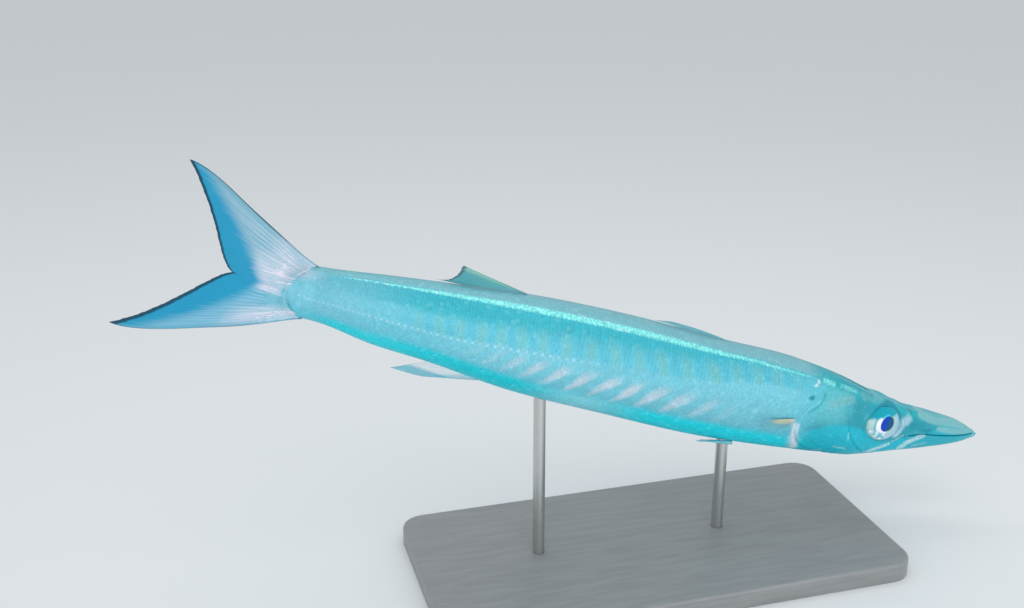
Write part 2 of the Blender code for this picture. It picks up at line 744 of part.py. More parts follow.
def paired_fin(name, sizes, side, parts):
    """A fin that leaves the flank or belly at its root and lies back along the body."""
    columns = 2 * sizes["rays"] - 1
    along = np.linspace(0.0, 1.0, columns)
    (first_station, first_angle), (last_station, last_angle) = sizes["root"]
    station = first_station + (last_station - first_station) * along
    angle = first_angle + (last_angle - first_angle) * along
    off = math.radians(sizes["stand_off"])
    root_half = PAIRED_ROOT_HALF + RAY_ROOT_RISE * (1.0 + RAY_VARIATION)
    lift = GAP * 1.2 + root_half / math.cos(off)
    roots = skin_points(station, angle, lift)
    outward = skin_points(station, angle, lift + 0.001) - roots
    outward = outward / np.linalg.norm(outward, axis=1)[:, None]
    rearward = np.array([-1.0, 0.0, 0.0])
    downward = np.cross(outward, rearward)
    downward = downward * np.sign(-downward[:, 2:3])
    drop = np.radians(np.linspace(sizes["drops"][0], sizes["drops"][1], columns))[:, None]
    flat = rearward * np.cos(drop) + downward * np.sin(drop)
    heading = flat * math.cos(off) + outward * math.sin(off)
    lengths = np.asarray(sizes["lengths"]) * MM
    length = lengths[1] + (lengths[0] - lengths[1]) * (1.0 - along) ** 1.3
    tips = roots + heading * length[:, None]
    middle = make_fin_grid(roots, tips, PAIRED_ROWS)
    across = np.gradient(middle, axis=0)
    back = np.gradient(middle, axis=1)
    normals = np.cross(across, back)
    normals = normals / np.linalg.norm(normals, axis=2)[..., None]
    half = ribbed(columns, PAIRED_ROWS, PAIRED_ROOT_HALF)
    middle[..., 1] *= side
    normals[..., 1] *= side
    return fin_sheet(name, middle, normals, half, parts)


def make_rod(name, station, cutters, parts):
    """An upright rod from the base to the belly, shaped to the belly at its top."""
    foot = posed(skin_points(station, 270.0))
    bottom = BASE_THICKNESS + GAP
    length = foot[2] + 0.015 - bottom
    bpy.ops.mesh.primitive_cylinder_add(
        vertices=ROD_SIDES, radius=ROD_RADIUS, depth=length,
        location=(foot[0], foot[1], bottom + length / 2.0),
    )
    rod = bpy.context.active_object
    rod.name = name
    for group in rod.users_collection:
        group.objects.unlink(rod)
    parts.objects.link(rod)
    stations = np.linspace(station - 0.06, station + 0.06, 9)
    belly = loft("belly_cutter", body_rings(stations, GAP), cutters)
    pose_object(belly)
    cut(rod, belly)
    return rod


def make_base(parts):
    """A flat plate with rounded corners and softened edges."""
    bpy.ops.mesh.primitive_cube_add(size=1.0, location=(0.0, 0.0, BASE_THICKNESS / 2.0))
    base = bpy.context.active_object
    base.name = "stand_base"
    base.scale = (BASE_LENGTH, BASE_WIDTH, BASE_THICKNESS)
    bpy.ops.object.transform_apply(location=False, rotation=False, scale=True)
    for group in base.users_collection:
        group.objects.unlink(base)
    parts.objects.link(base)
    shape = bmesh.new()
    shape.from_mesh(base.data)
    upright = [
        edge for edge in shape.edges
        if abs(edge.verts[0].co.z - edge.verts[1].co.z) > BASE_THICKNESS / 2.0
    ]
    bmesh.ops.bevel(
        shape, geom=upright, offset=BASE_CORNER, segments=6, profile=0.5, affect="EDGES",
    )
    top = [
        edge for edge in shape.edges
        if all(vertex.co.z > BASE_THICKNESS * 0.4 for vertex in edge.verts)
    ]
    bmesh.ops.bevel(
        shape, geom=top, offset=BASE_EDGE_ROUND, segments=2, profile=0.5, affect="EDGES",
    )
    shape.to_mesh(base.data)
    shape.free()
    return base


def finish(item, look):
    """Give a piece a material of its own and smooth shading with crisp edges."""
    item.data.materials.clear()
    item.data.materials.append(material_named(item.name, *look))
    item.data.shade_smooth()
    item.data.set_sharp_from_angle(angle=math.radians(40.0))


def main():
    """Make every piece of the fish and its stand."""
    clear_scene()
    parts = collection_named("barracuda")
    cutters = collection_named("cutters")

    head, jaw = make_head(parts, cutters)
    bodies = [head, jaw]
    margin = GAP / STANDARD_LENGTH
    front = np.linspace(HEAD_END + margin, TORSO_SPLIT, TORSO_FRONT_RINGS)
    rear = np.linspace(TORSO_SPLIT + margin, STALK_START, TORSO_REAR_RINGS)
    stalk = np.linspace(STALK_START + margin, STALK_ROUND_START, STALK_RINGS)
    closing = np.sin(np.radians(STALK_ROUND_ANGLES)) ** (2.0 / STALK_ROUND_POWER)
    closing = STALK_ROUND_START + (STALK_ROUND_END - STALK_ROUND_START) * closing
    bodies.append(loft("torso_front", body_rings(front), parts))
    bodies.append(loft("torso_rear", body_rings(rear), parts))
    bodies.append(loft("tail_stalk", body_rings(np.concatenate([stalk, closing])), parts))
    for side, word in ((1, "left"), (-1, "right")):
        name = "gill_cover_" + word
        bodies.append(gill_patch(name, side, 0.0, GILL_PROUD, GILL_THICKNESS, parts))

    fins = [first_dorsal(parts)]
    fins.append(median_fin(
        "second_dorsal_fin", DORSAL_ROOT, DORSAL_MARGIN, DORSAL_RAYS, back_height, 1, parts,
    ))
    fins.append(median_fin(
        "anal_fin", ANAL_ROOT, ANAL_MARGIN, ANAL_RAYS, belly_height, -1, parts,
    ))
    fins.append(tail_lobe(
        "tail_fin_upper_lobe", UPPER_LOBE_LEADING, UPPER_LOBE_TRAILING, UPPER_LOBE_RAYS, 1, parts,
    ))
    fins.append(tail_lobe(
        "tail_fin_lower_lobe", LOWER_LOBE_LEADING, LOWER_LOBE_TRAILING, LOWER_LOBE_RAYS, -1, parts,
    ))
    paired = []
    eyes = []
    for side, word in ((1, "left"), (-1, "right")):
        paired.append(paired_fin("pectoral_fin_" + word, PECTORAL, side, parts))
        paired.append(paired_fin("pelvic_fin_" + word, PELVIC, side, parts))
        eyes.append(ellipsoid(
            "eye_" + word, eye_centre(side), eye_radii(), parts, widening=EYE_WIDENING,
        ))

    for item in bodies + fins + paired + eyes:
        pose_object(item)
    for item in bodies:
        finish(item, FLANK_LOOK)
    for item in fins:
        finish(item, FIN_LOOK)
    for item in paired:
        finish(item, PALE_FIN_LOOK)
    for item in eyes:
        finish(item, EYE_LOOK)
    finish(make_base(parts), BASE_LOOK)
    for name, station in ROD_STATIONS.items():
        finish(make_rod(name, station, cutters, parts), STEEL_LOOK)


main()
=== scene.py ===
"""The looks of a life-size barracuda model on a display stand.

The fish is worked out on a straight axis: x runs forward from the snout tip, so it is
negative along the body, y points to the fish's left and z up. Each point is then carried
onto the bent axis of the pose. A station is a distance behind the snout tip as a part of the
standard length, and a level is the angle on a section of the body, from -90 at the belly
through 0 at the flank to 90 at the back. Lengths are metres.
"""

import math

import bpy
import numpy as np
from mathutils import Matrix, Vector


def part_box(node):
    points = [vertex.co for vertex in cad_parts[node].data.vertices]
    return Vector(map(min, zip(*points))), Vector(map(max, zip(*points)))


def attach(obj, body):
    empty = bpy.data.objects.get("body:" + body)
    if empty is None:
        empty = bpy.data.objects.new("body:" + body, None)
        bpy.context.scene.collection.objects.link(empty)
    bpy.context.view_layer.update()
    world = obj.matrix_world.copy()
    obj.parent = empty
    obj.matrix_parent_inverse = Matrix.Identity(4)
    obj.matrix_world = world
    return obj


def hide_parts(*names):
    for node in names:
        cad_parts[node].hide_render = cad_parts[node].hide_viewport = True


bl_info = {
    "name": "Barracuda Model",
    "version": (1, 0, 0),
    "blender": (4, 5, 0),
    "location": "View3D > Sidebar > Barracuda",
    "description": "Dresses the packed solids of a barracuda with skin, scales and fins",
    "category": "Object",
}

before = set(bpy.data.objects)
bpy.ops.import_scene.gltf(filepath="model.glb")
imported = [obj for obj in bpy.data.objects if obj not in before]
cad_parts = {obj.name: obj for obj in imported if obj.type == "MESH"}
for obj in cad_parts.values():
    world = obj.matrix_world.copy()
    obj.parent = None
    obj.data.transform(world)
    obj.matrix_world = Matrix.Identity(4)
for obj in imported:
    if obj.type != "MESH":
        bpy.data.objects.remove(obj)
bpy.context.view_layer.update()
BASE_LOW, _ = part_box("stand_base")

MM = 0.001
STANDARD_LENGTH = 0.630

# Space between neighbouring solids, and between a median fin's root and the body
GAP = 0.0003
ROOT_GAP = GAP * 1.3

# The pose: the slope of the body axis, its slow turns and the flex of the tail fin
NOSE_DOWN = math.radians(17.8)
SLOPE_CHANGE = 0.155
TURN_LINEAR = -0.23
TURN_SQUARE = -0.25
TURN_CUBE = -0.73
TAIL_FLEX = math.radians(38.0)
TAIL_FLEX_START = 0.96
TAIL_FLEX_RUN = 0.12
AXIS_STEPS = 500
AXIS_END = 1.25

# Where the middle of the body stands above the floor
BODY_HEIGHT = 0.172

# Body stations: part of the standard length, then height above the axis, depth below it
# and half width in millimetres, then how square the section is (2 is an ellipse)
BODY_STATIONS = (
    (0.000, 0.6, 2.6, 1.8, 2.0),
    (0.030, 8.2, 10.6, 9.7, 2.1),
    (0.080, 12.1, 20.8, 15.2, 2.3),
    (0.130, 14.2, 28.9, 18.3, 2.5),
    (0.180, 21.0, 36.4, 23.2, 2.5),
    (0.240, 30.8, 40.6, 27.4, 2.3),
    (0.300, 37.0, 42.8, 28.9, 2.2),
    (0.420, 39.8, 45.2, 30.5, 2.1),
    (0.550, 42.6, 42.2, 30.8, 2.1),
    (0.700, 39.8, 37.8, 28.1, 2.1),
    (0.800, 33.8, 29.8, 20.9, 2.1),
    (0.880, 28.5, 25.4, 14.6, 2.1),
    (0.950, 23.4, 18.0, 8.9, 2.1),
    (1.000, 21.2, 17.6, 6.6, 2.1),
)

# The greatest sum of the body's height and width
GREATEST_GIRTH = 0.148

# The rounded end of the tail stalk, which carries the tail fin, and the round of the nose
STALK_ROUND_START = 0.966
STALK_ROUND_END = 1.001
STALK_ROUND_POWER = 2.6
STALK_END_HALF_WIDTH = 2.0 * MM
NOSE_ROUND = 0.006

# Where the head ends, and how far behind its end the marks and relief of the head are read
HEAD_END = 0.302
HEAD_RUNOUT = 0.02

# How deep the skin lies inside the solids under the scales
SKIN_DEPTH = 0.42 * MM

# Lines on the head, as stations and heights in millimetres. A nostril has a radius too
MOUTH_LINE = ((0.000, 2.0), (0.030, -0.4), (0.066, -2.8), (0.095, -3.6), (0.116, -6.8))
UPPER_JAW_BONE = (
    (0.078, -0.2), (0.104, -0.6), (0.1205, -5.0), (0.1225, -9.5), (0.1165, -12.0), (0.110, -9.0),
)
JAW_HINGE = ((0.116, -6.8), (0.134, -16.0), (0.146, -26.0), (0.150, -31.0))
JAW_KEEL = ((0.020, -6.0), (0.070, -13.5), (0.110, -19.0), (0.140, -24.0))
CHEEK_EDGE = (
    (0.2230, 22.0), (0.2255, 12.0), (0.2230, 0.0), (0.2130, -12.0), (0.1980, -21.0),
    (0.1800, -27.5), (0.1600, -29.5),
)
GILL_MARGIN = (
    (0.2440, 23.5), (0.2640, 22.0), (0.2820, 12.0), (0.2950, 1.0), (0.2982, -9.0),
    (0.2940, -19.0), (0.2820, -28.0), (0.2620, -33.5), (0.2350, -36.0), (0.1970, -36.0),
)
GILL_SEAMS = (
    ((0.2200, -19.0), (0.2480, -17.5), (0.2880, -13.0)),
    ((0.2300, 18.0), (0.2480, 12.0), (0.2640, 2.0)),
)
THROAT_RAYS = (
    ((0.1650, -31.0), (0.2000, -32.8), (0.2420, -31.6)),
    ((0.1720, -33.6), (0.2050, -35.0), (0.2480, -34.2)),
)
BROW = ((0.1260, 11.6), (0.1400, 15.2), (0.1560, 17.0), (0.1760, 17.2), (0.1900, 15.6))
NOSTRILS = ((0.1065, 10.6, 1.5), (0.0960, 9.0, 0.9))

# The border between the cheek and the bright underside of the head
LOW_CHEEK = (
    (0.1000, -4.0), (0.1200, -9.5), (0.1500, -15.5), (0.1750, -14.0), (0.1950, -6.5),
    (0.2220, -4.0), (0.2420, -5.5), (0.2620, -11.0), (0.2880, -18.0), (0.3020, -26.0),
)

# Marks on the head: points of a stroke, its half width in millimetres and its strength
HEAD_MARKS = {
    # Painted highlight: the bright line of light off the scales carried onto the head
    "bright": (
        (((0.2700, 28.0), (0.2600, 27.3), (0.2540, 26.8)), 1.7, 0.80),
        (((0.2420, 26.2), (0.2270, 24.7), (0.2170, 23.4)), 1.3, 0.60),
    ),
    "pale": (
        (((0.2795, 27.5), (0.2812, 25.5), (0.2850, 23.6)), 0.9, 1.20),
        (((0.2155, -11.0), (0.2110, -17.0)), 0.6, 0.45),
        (((0.1250, -7.0), (0.1320, -11.0), (0.1400, -15.0)), 0.7, 0.50),
        (((0.0950, -5.4), (0.1100, -11.5), (0.1205, -20.5)), 2.5, 0.70),
        (((0.0840, -11.8), (0.1030, -16.2)), 0.8, 0.30),
        (((0.1430, -17.8), (0.1560, -23.0), (0.1700, -28.4)), 1.8, 0.75),
        (((0.2280, -26.0), (0.2070, -27.2)), 0.6, 0.50),
        (((0.2420, -32.0), (0.2500, -34.5)), 0.7, 0.45),
        (((0.0070, 1.4), (0.0100, -1.5)), 0.7, 0.55),
    ),
    "pink": (
        (((0.2975, -12.0), (0.2955, -18.0), (0.2900, -27.0), (0.2790, -35.5)), 2.6, 1.00),
        (((0.2930, -24.0), (0.2830, -34.0)), 4.5, 0.50),
        (((0.1390, -6.0), (0.1365, -1.5), (0.1325, 4.0), (0.1245, 6.8)), 3.8, 0.50),
    ),
    "tan": (
        (((0.1020, 11.2), (0.0800, 8.8), (0.0560, 8.4), (0.0300, 7.2)), 2.7, 0.95),
        (((0.0720, 3.0), (0.0500, 2.6), (0.0300, 3.2), (0.0140, 3.2)), 2.4, 0.85),
        (((0.2560, 11.0), (0.2405, 16.0), (0.2260, 18.2)), 3.6, 0.60),
        (((0.2050, 21.0), (0.1700, 17.5)), 2.6, 0.35),
    ),
    # Dark strokes: some are dark marks of the skin, others painted shade, along the brow and in
    # the mouth line
    "dark": (
        (((0.2865, 14.4), (0.2895, 13.8)), 1.9, 0.95),
        (((0.2690, 19.0), (0.2745, 9.5), (0.2880, 1.5)), 0.9, 0.60),
        # Painted shadow under the brow, along the top of the eye
        (
            ((0.1850, 12.2), (0.1740, 15.4), (0.1620, 16.2), (0.1500, 14.2), (0.1405, 10.2)),
            1.3, 0.90,
        ),
        (((0.1260, 13.6), (0.1170, 12.0)), 1.0, 0.60),
        (((0.1170, 3.2), (0.1040, 2.8), (0.0900, 1.4)), 3.6, 0.75),
        # Painted shade in the mouth line between the jaws
        (
            ((0.0080, 1.3), (0.0300, -0.4), (0.0660, -2.8), (0.0950, -3.6), (0.1160, -6.8)),
            0.5, 0.60,
        ),
    ),
}

# The eye, and the middle and half sizes of its pupil as parts of the eye's half sizes
EYE_STATION = 0.1640
EYE_HEIGHT = 0.8 * MM
EYE_HALF_LENGTH = 17.9 * MM
EYE_HALF_HEIGHT = 14.3 * MM
EYE_BULGE = 5.0 * MM
EYE_DEPTH = 6.0 * MM
EYE_SINK = 3.4 * MM
PUPIL_CENTRE = (0.084, 0.113)
PUPIL_SIZE = (0.372, 0.465)
PUPIL_DIP = 0.20 * MM

# The lateral line: stations and levels
LATERAL_LINE = (
    (0.300, 27.0), (0.370, 23.5), (0.4425, 14.0), (0.529, 9.5), (0.600, 7.5), (0.677, 4.0),
    (0.733, 0.5), (0.796, -4.0), (0.867, -4.0), (0.929, -3.6), (1.000, -1.0),
)

# The level of the painted highlight line under the back: light reflected off the scales, painted
# into the colour
HIGHLIGHT_LEVEL = 57.0

# Stations of the dark bars of the flank, at a level of 15
BARS = (
    0.2750, 0.3050, 0.3370, 0.3675, 0.3990, 0.4345, 0.4740, 0.5120, 0.5455, 0.5790, 0.6140,
    0.6470, 0.6800, 0.7080, 0.7355, 0.7625, 0.7900, 0.8155, 0.8425, 0.8700, 0.8975, 0.9250,
)

# Tail fin: outlines of the lobes as cubic curves of station and height in standard lengths.
# The edge is the part along a lobe where its dark margin begins. Each pale patch, a painted
# highlight on the scaly base, has its middle and width across the lobe, its start and reach along
# it, and its strength
UPPER_LOBE = {
    "leading": ((0.966, 0.0360), (1.010, 0.0480), (1.100, 0.1080), (1.1430, 0.1030)),
    "trailing": ((1.1430, 0.1030), (1.0850, 0.0500), (1.0790, 0.0005), (1.0580, 0.0004)),
    "sign": 1,
    "material": "tail_upper",
    "edge": 0.965,
    "pale": ((0.25, 0.50, -0.10, 0.34, 0.85), (0.74, 0.46, -0.02, 0.50, 1.0)),
}
LOWER_LOBE = {
    "leading": ((0.970, -0.0275), (1.014, -0.0370), (1.130, -0.1225), (1.1770, -0.1205)),
    "trailing": ((1.1770, -0.1205), (1.1150, -0.0750), (1.0780, -0.0040), (1.0580, -0.0004)),
    "sign": -1,
    "material": "tail_lower",
    "edge": 0.950,
    "pale": ((0.96, 0.20, 0.04, 0.48, 1.0), (0.27, 0.38, -0.10, 0.42, 1.0)),
}

# Roots of the lobes: half thickness, how far they reach into the stalk, in metres, and how
# far each lobe passes the middle at the fork, in standard lengths. Scales of their base
LOBE_ROOT_HALF = 1.30 * MM
LOBE_ROOT_INSIDE = 3.0 * MM
FORK_OVERLAP = 0.0004
LOBE_SCALE_COLUMNS = 34
LOBE_SCALE_ROWS = 16
LOBE_SCALE_LENGTH = 2.3 * MM
LOBE_SCALE_LIFT = 0.30 * MM

# Second dorsal and anal fin: stations of the root's ends, then the margin as a curve of
# station and height in standard lengths
DORSAL_ROOT = (0.703, 0.786)
DORSAL_MARGIN = ((0.797, 0.0785), (0.798, 0.0550), (0.824, 0.0540))
ANAL_ROOT = (0.728, 0.800)
ANAL_MARGIN = ((0.800, -0.0680), (0.823, -0.0670), (0.844, -0.0650))

# First dorsal fin: stations of the roots and of the folded tips of its spines
SPINE_COUNT = 5
SPINE_ROOT_FIRST = 0.415
SPINE_ROOT_STEP = 0.0155
SPINE_TIP_FIRST = 0.500
SPINE_TIP_STEP = 0.0055
SPINE_FOLD_HEIGHT = 2.8 * MM

# Half thickness of a fin's web at its root and margin, and how far its rays rise over it
WEB_ROOT_HALF = 0.40 * MM
PAIRED_ROOT_HALF = 0.55 * MM
WEB_EDGE_HALF = 0.10 * MM
RAY_RISE = 0.30 * MM

# Paired fins: station and level of the first and last root, then for the first and last ray
# the length in millimetres and the drop below the body's axis in degrees, then how far the
# rays stand off the flank in degrees, and half the thickness of the solid at its root
PECTORAL = {
    "root": ((0.3045, -6.0), (0.3060, -14.0)),
    "lengths": (38.0, 26.0),
    "drops": (8.0, 14.0),
    "stand_off": 8.0,
    "root_half": 1.25 * MM,
}
PELVIC = {
    "root": ((0.3660, -66.0), (0.3830, -76.0)),
    "lengths": (36.0, 16.0),
    "drops": (-4.0, 8.0),
    "stand_off": 7.0,
    "root_half": 1.10 * MM,
}

# A scale's plate: points of its rim, all its points, and half the side of its patch in the
# bake map
PLATE_RIM = 8
PLATE_POINTS = 2 * PLATE_RIM + 1
HALF_PATCH = 0.0015

# The view: the camera looks at the fish from its right side, a little behind and above
VIEW_HEIGHT = math.radians(20.0)
VIEW_TURN = math.radians(-16.0)
VIEW_DISTANCE = 1.547 * STANDARD_LENGTH
VIEW_RIGHT = -0.188 * STANDARD_LENGTH
VIEW_UP = 0.0865 * STANDARD_LENGTH
FOCAL_PIXELS = 1200.0
IMAGE_WIDTH = 1024


def smooth_step(value):
    """0 below 0, 1 above 1 and 3v^2 - 2v^3 between."""
    value = np.clip(value, 0.0, 1.0)
    return value * value * (3.0 - 2.0 * value)


def bump_at(value, centre, width):
    """A bell: e to the minus square of the distance from the centre over the width."""
    return np.exp(-((value - centre) / width) ** 2)


def smooth_through(stations, values, wanted):
    """A smooth curve through values given at stations: between two of them a cubic whose
    slopes at both ends weigh the rates on either side."""
    stations = np.asarray(stations, float)
    values = np.asarray(values, float)
    steps = np.diff(stations)
    rates = np.diff(values) / steps
    slopes = np.empty(len(values))
    slopes[1:-1] = (rates[:-1] * steps[1:] + rates[1:] * steps[:-1]) / (steps[1:] + steps[:-1])
    slopes[0] = rates[0]
    slopes[-1] = rates[-1]
    wanted = np.asarray(wanted, float)
    index = np.clip(np.searchsorted(stations, wanted) - 1, 0, len(steps) - 1)
    step = steps[index]
    part = np.clip((wanted - stations[index]) / step, 0.0, 1.0)
    rise = part * part * (3.0 - 2.0 * part)
    start_pull = part * (1.0 - part) ** 2
    end_pull = -part * part * (1.0 - part)
    level = values[index] * (1.0 - rise) + values[index + 1] * rise
    return level + step * (start_pull * slopes[index] + end_pull * slopes[index + 1])


def through_points(points, count=28):
    """Evenly counted points on a smooth line through pairs of numbers."""
    points = np.asarray(points, float)
    if len(points) < 3:
        part = np.linspace(0.0, 1.0, count)[:, None]
        return points[0] * (1.0 - part) + points[1] * part
    knots = np.arange(len(points))
    wanted = np.linspace(0.0, len(points) - 1.0, count)
    return np.stack([smooth_through(knots, points[:, axis], wanted) for axis in (0, 1)], 1)


def cubic(points, part):
    """A cubic curve with four control points, read at parts from 0 to 1."""
    part = np.asarray(part, float)[..., None]
    first, second, third, fourth = np.asarray(points, float)
    rest = 1.0 - part
    ends = rest ** 3 * first + part ** 3 * fourth
    return ends + 3.0 * rest * part * (rest * second + part * third)


def quadratic(points, part):
    """A curve with three control points, read at parts from 0 to 1."""
    part = np.asarray(part, float)[..., None]
    first, second, third = np.asarray(points, float)
    rest = 1.0 - part
    return rest ** 2 * first + 2.0 * rest * part * second + part ** 2 * third


def body_size(station):
    """Height above the axis, depth below it, half width and squareness at a station."""
    table = np.asarray(BODY_STATIONS)
    above, below, half_width, power = (
        smooth_through(table[:, 0], table[:, column], station) for column in (1, 2, 3, 4)
    )
    return above * MM, below * MM, half_width * MM, power


def flank_side(station, height):
    """Half width of the plain body at a height: the section's rounded square, solved for
    the width."""
    above, below, half_width, power = body_size(station)
    limit = np.where(height >= 0.0, above, below)
    return half_width * (1.0 - np.clip(np.abs(height / limit), 0.0, 1.0) ** power) ** (1.0 / power)


def section(station, level):
    """Width, height and outward direction of the plain skin: half width times
    cos(level)^(2/power) and height times sin(level)^(2/power), closed by a rounded nose and
    a rounded end of the tail stalk."""
    above, below, half_width, power = body_size(np.clip(station, 0.0, STALK_ROUND_END))
    run = (station - STALK_ROUND_START) / (STALK_ROUND_END - STALK_ROUND_START)
    run = np.clip(run, 0.0, 1.0)
    closing = (1.0 - run ** STALK_ROUND_POWER) ** (1.0 / STALK_ROUND_POWER)
    nose = np.clip(1.0 - station / NOSE_ROUND, 0.0, 1.0)
    nose = np.sqrt(1.0 - nose ** 2)
    turn = np.radians(level)
    limit = np.where(turn >= 0.0, above, below) * closing * nose
    narrow = smooth_step(run)
    half_width = (half_width * (1.0 - narrow) + STALK_END_HALF_WIDTH * narrow) * nose
    cosine = np.abs(np.cos(turn)) ** (2.0 / power)
    sine = np.sign(turn) * np.abs(np.sin(turn)) ** (2.0 / power)
    out_side = np.cos(turn) / np.maximum(half_width, 1e-6)
    out_rise = np.sin(turn) / np.maximum(limit, 1e-6)
    size = np.hypot(out_side, out_rise)
    return half_width * cosine, limit * sine, out_side / size, out_rise / size


def skin_place(station, level, side, lift):
    """Points of the straight fish on its left (1) or right (-1), at a lift off the plain
    skin along its outward direction."""
    width, rise, out_side, out_rise = section(station, level)
    width = width + lift * out_side
    rise = rise + lift * out_rise
    return np.stack([-station * STANDARD_LENGTH + 0.0 * width, side * width, rise], -1)


def bent_axis():
    """Points, rearward, leftward and upward directions along the bent axis. The axis turns
    by a cubic in the station, then by the flex of the tail, and its slope changes evenly."""
    station = np.linspace(0.0, AXIS_END, AXIS_STEPS + 1)
    middle = np.minimum(station, 1.0) - 0.5
    turn = TURN_LINEAR * middle + TURN_SQUARE * (middle ** 2 - 1.0 / 12.0)
    turn = turn + TURN_CUBE * middle ** 3
    turn = turn + TAIL_FLEX * smooth_step((station - TAIL_FLEX_START) / TAIL_FLEX_RUN)
    slope = NOSE_DOWN + SLOPE_CHANGE * middle
    rearward = np.stack(
        [-np.cos(turn) * np.cos(slope), np.sin(turn) * np.cos(slope), np.sin(slope)], 1
    )
    spacing = STANDARD_LENGTH * AXIS_END / AXIS_STEPS
    steps = (rearward[1:] + rearward[:-1]) * 0.5 * spacing
    points = np.vstack([np.zeros(3), np.cumsum(steps, axis=0)])
    points = points - points[station <= 1.0].mean(axis=0) + (0.0, 0.0, BODY_HEIGHT)
    leftward = np.cross(rearward, (0.0, 0.0, 1.0))
    leftward = leftward / np.linalg.norm(leftward, axis=1)[:, None]
    return station, points, rearward, leftward, np.cross(leftward, rearward)


AXIS = bent_axis()


def posed(points):
    """Carry points from the straight axis onto the bent one: the axis point of their
    station, plus their side and height along the axis directions there."""
    station = -points[..., 0] / STANDARD_LENGTH
    table, centres, rearward, leftward, upward = AXIS

    def read(values):
        return np.stack([np.interp(station, table, values[:, k]) for k in range(3)], -1)

    before = np.minimum(station, 0.0)[..., None] * STANDARD_LENGTH
    place = read(centres) + read(rearward) * before
    return place + read(leftward) * points[..., 1:2] + read(upward) * points[..., 2:3]


def line_distance(points, station, height):
    """How far points of the flank lie from a bent line, and on which of its sides. For
    each short length of the line: the distance to its nearest point, of which the least
    counts. The side is the sign of the cross product with that length."""
    line = through_points(points) * (STANDARD_LENGTH, MM)
    place = np.stack([station * STANDARD_LENGTH, height], -1)
    nearest = np.full(station.shape, np.inf)
    side = np.zeros(station.shape)
    for start, end in zip(line[:-1], line[1:]):
        run = end - start
        part = np.clip(((place - start) @ run) / (run @ run), 0.0, 1.0)
        off = place - start - part[..., None] * run
        distance = np.hypot(off[..., 0], off[..., 1])
        turned = np.sign(run[0] * off[..., 1] - run[1] * off[..., 0])
        side = np.where(distance < nearest, turned, side)
        nearest = np.minimum(distance, nearest)
    return nearest, side


def strokes(marks, station, height):
    """How strongly marks show at points of the flank: for each mark its strength, fading
    from its half width outward, of which the greatest counts."""
    shown = np.zeros(station.shape)
    for points, half_width, strength in marks:
        distance, _ = line_distance(points, station, height)
        fade = smooth_step(1.5 - distance / (half_width * MM))
        shown = np.maximum(shown, strength * fade)
    return shown


def eye_radius(station, height):
    """Distance from the middle of the eye, where 1 is its edge."""
    along = (station - EYE_STATION) * STANDARD_LENGTH / EYE_HALF_LENGTH
    return np.hypot(along, (height - EYE_HEIGHT) / EYE_HALF_HEIGHT)


def head_relief(station, height, level):
    """How far the skin of the head stands off the plain body. Grooves and ridges are bells
    across named lines, the gill cover is a step at its margin, and the socket is a bowl
    under the eye."""
    lift = np.zeros(station.shape)

    mouth, _ = line_distance(MOUTH_LINE, station, height)
    begin = smooth_step(station / 0.02)
    lips = 0.65 * bump_at(mouth, 1.5 * MM, 0.9 * MM) - 1.5 * bump_at(mouth, 0.0, 0.42 * MM)
    lift += begin * lips

    bone, bone_side = line_distance(UPPER_JAW_BONE, station, height)
    lift += 0.45 * np.where(bone_side < 0.0, bump_at(bone, 0.0, 3.0 * MM), 0.0)
    lift -= 0.65 * bump_at(bone, 0.0, 0.5 * MM)

    hinge, _ = line_distance(JAW_HINGE, station, height)
    lift -= 0.55 * bump_at(hinge, 0.0, 0.8 * MM)
    keel, _ = line_distance(JAW_KEEL, station, height)
    lift += 0.45 * bump_at(keel, 0.0, 2.6 * MM)

    cheek, cheek_side = line_distance(CHEEK_EDGE, station, height)
    lift += np.where(cheek_side < 0.0, 0.65, 0.0) * bump_at(cheek, 0.8 * MM, 3.0 * MM)
    lift -= 0.50 * bump_at(cheek, 0.0, 0.8 * MM)

    for seam in GILL_SEAMS + THROAT_RAYS:
        distance, _ = line_distance(seam, station, height)
        lift -= 0.38 * bump_at(distance, 0.0, 0.9 * MM)

    margin, margin_side = line_distance(GILL_MARGIN, station, height)
    cover = -margin * margin_side
    inside = smooth_step((cover + 0.15 * MM) / (0.5 * MM))
    lift += inside * 0.85 * bump_at(margin, 0.0, 16.0 * MM)
    lift -= (1.0 - inside) * 0.75 * bump_at(margin, 0.0, 2.6 * MM)

    brow, _ = line_distance(BROW, station, height)
    lift += 1.10 * bump_at(brow, 0.0, 1.9 * MM)

    radius = eye_radius(station, height)
    lift += 0.85 * bump_at(radius, 1.13, 0.09)
    lift -= EYE_SINK / MM * smooth_step((1.05 - radius) / 0.14)

    for nostril_station, nostril_height, nostril_radius in NOSTRILS:
        along = (station - nostril_station) * STANDARD_LENGTH / (1.3 * nostril_radius * MM)
        off = np.hypot(along, (height - nostril_height * MM) / (0.9 * nostril_radius * MM))
        lift += 0.22 * bump_at(off, 1.35, 0.35) - 1.3 * bump_at(off, 0.0, 0.85)

    crown = smooth_step((station - 0.05) / 0.04) * smooth_step((0.26 - station) / 0.06)
    lift += crown * (0.55 * bump_at(level, 72.0, 7.0) - 0.45 * bump_at(level, 90.0, 8.0))
    cheek_hollow = bump_at(station, 0.103, 0.016) * bump_at(height, 3.5 * MM, 3.6 * MM)
    return (lift - 0.8 * cheek_hollow) * MM


def skin_lift(station, level):
    """Lift of the skin off the plain body: the relief of the head, fading out behind the
    gill cover, and the depth of the scales behind it."""
    _, height, _, _ = section(station, level)
    relief = np.zeros(station.shape)
    on_head = station < HEAD_END + HEAD_RUNOUT
    relief[on_head] = head_relief(station[on_head], height[on_head], level[on_head])
    scaled = smooth_step((station - 0.20) / 0.10)
    tail = smooth_step((STALK_ROUND_END - station) / 0.004)
    return relief - SKIN_DEPTH * scaled * tail


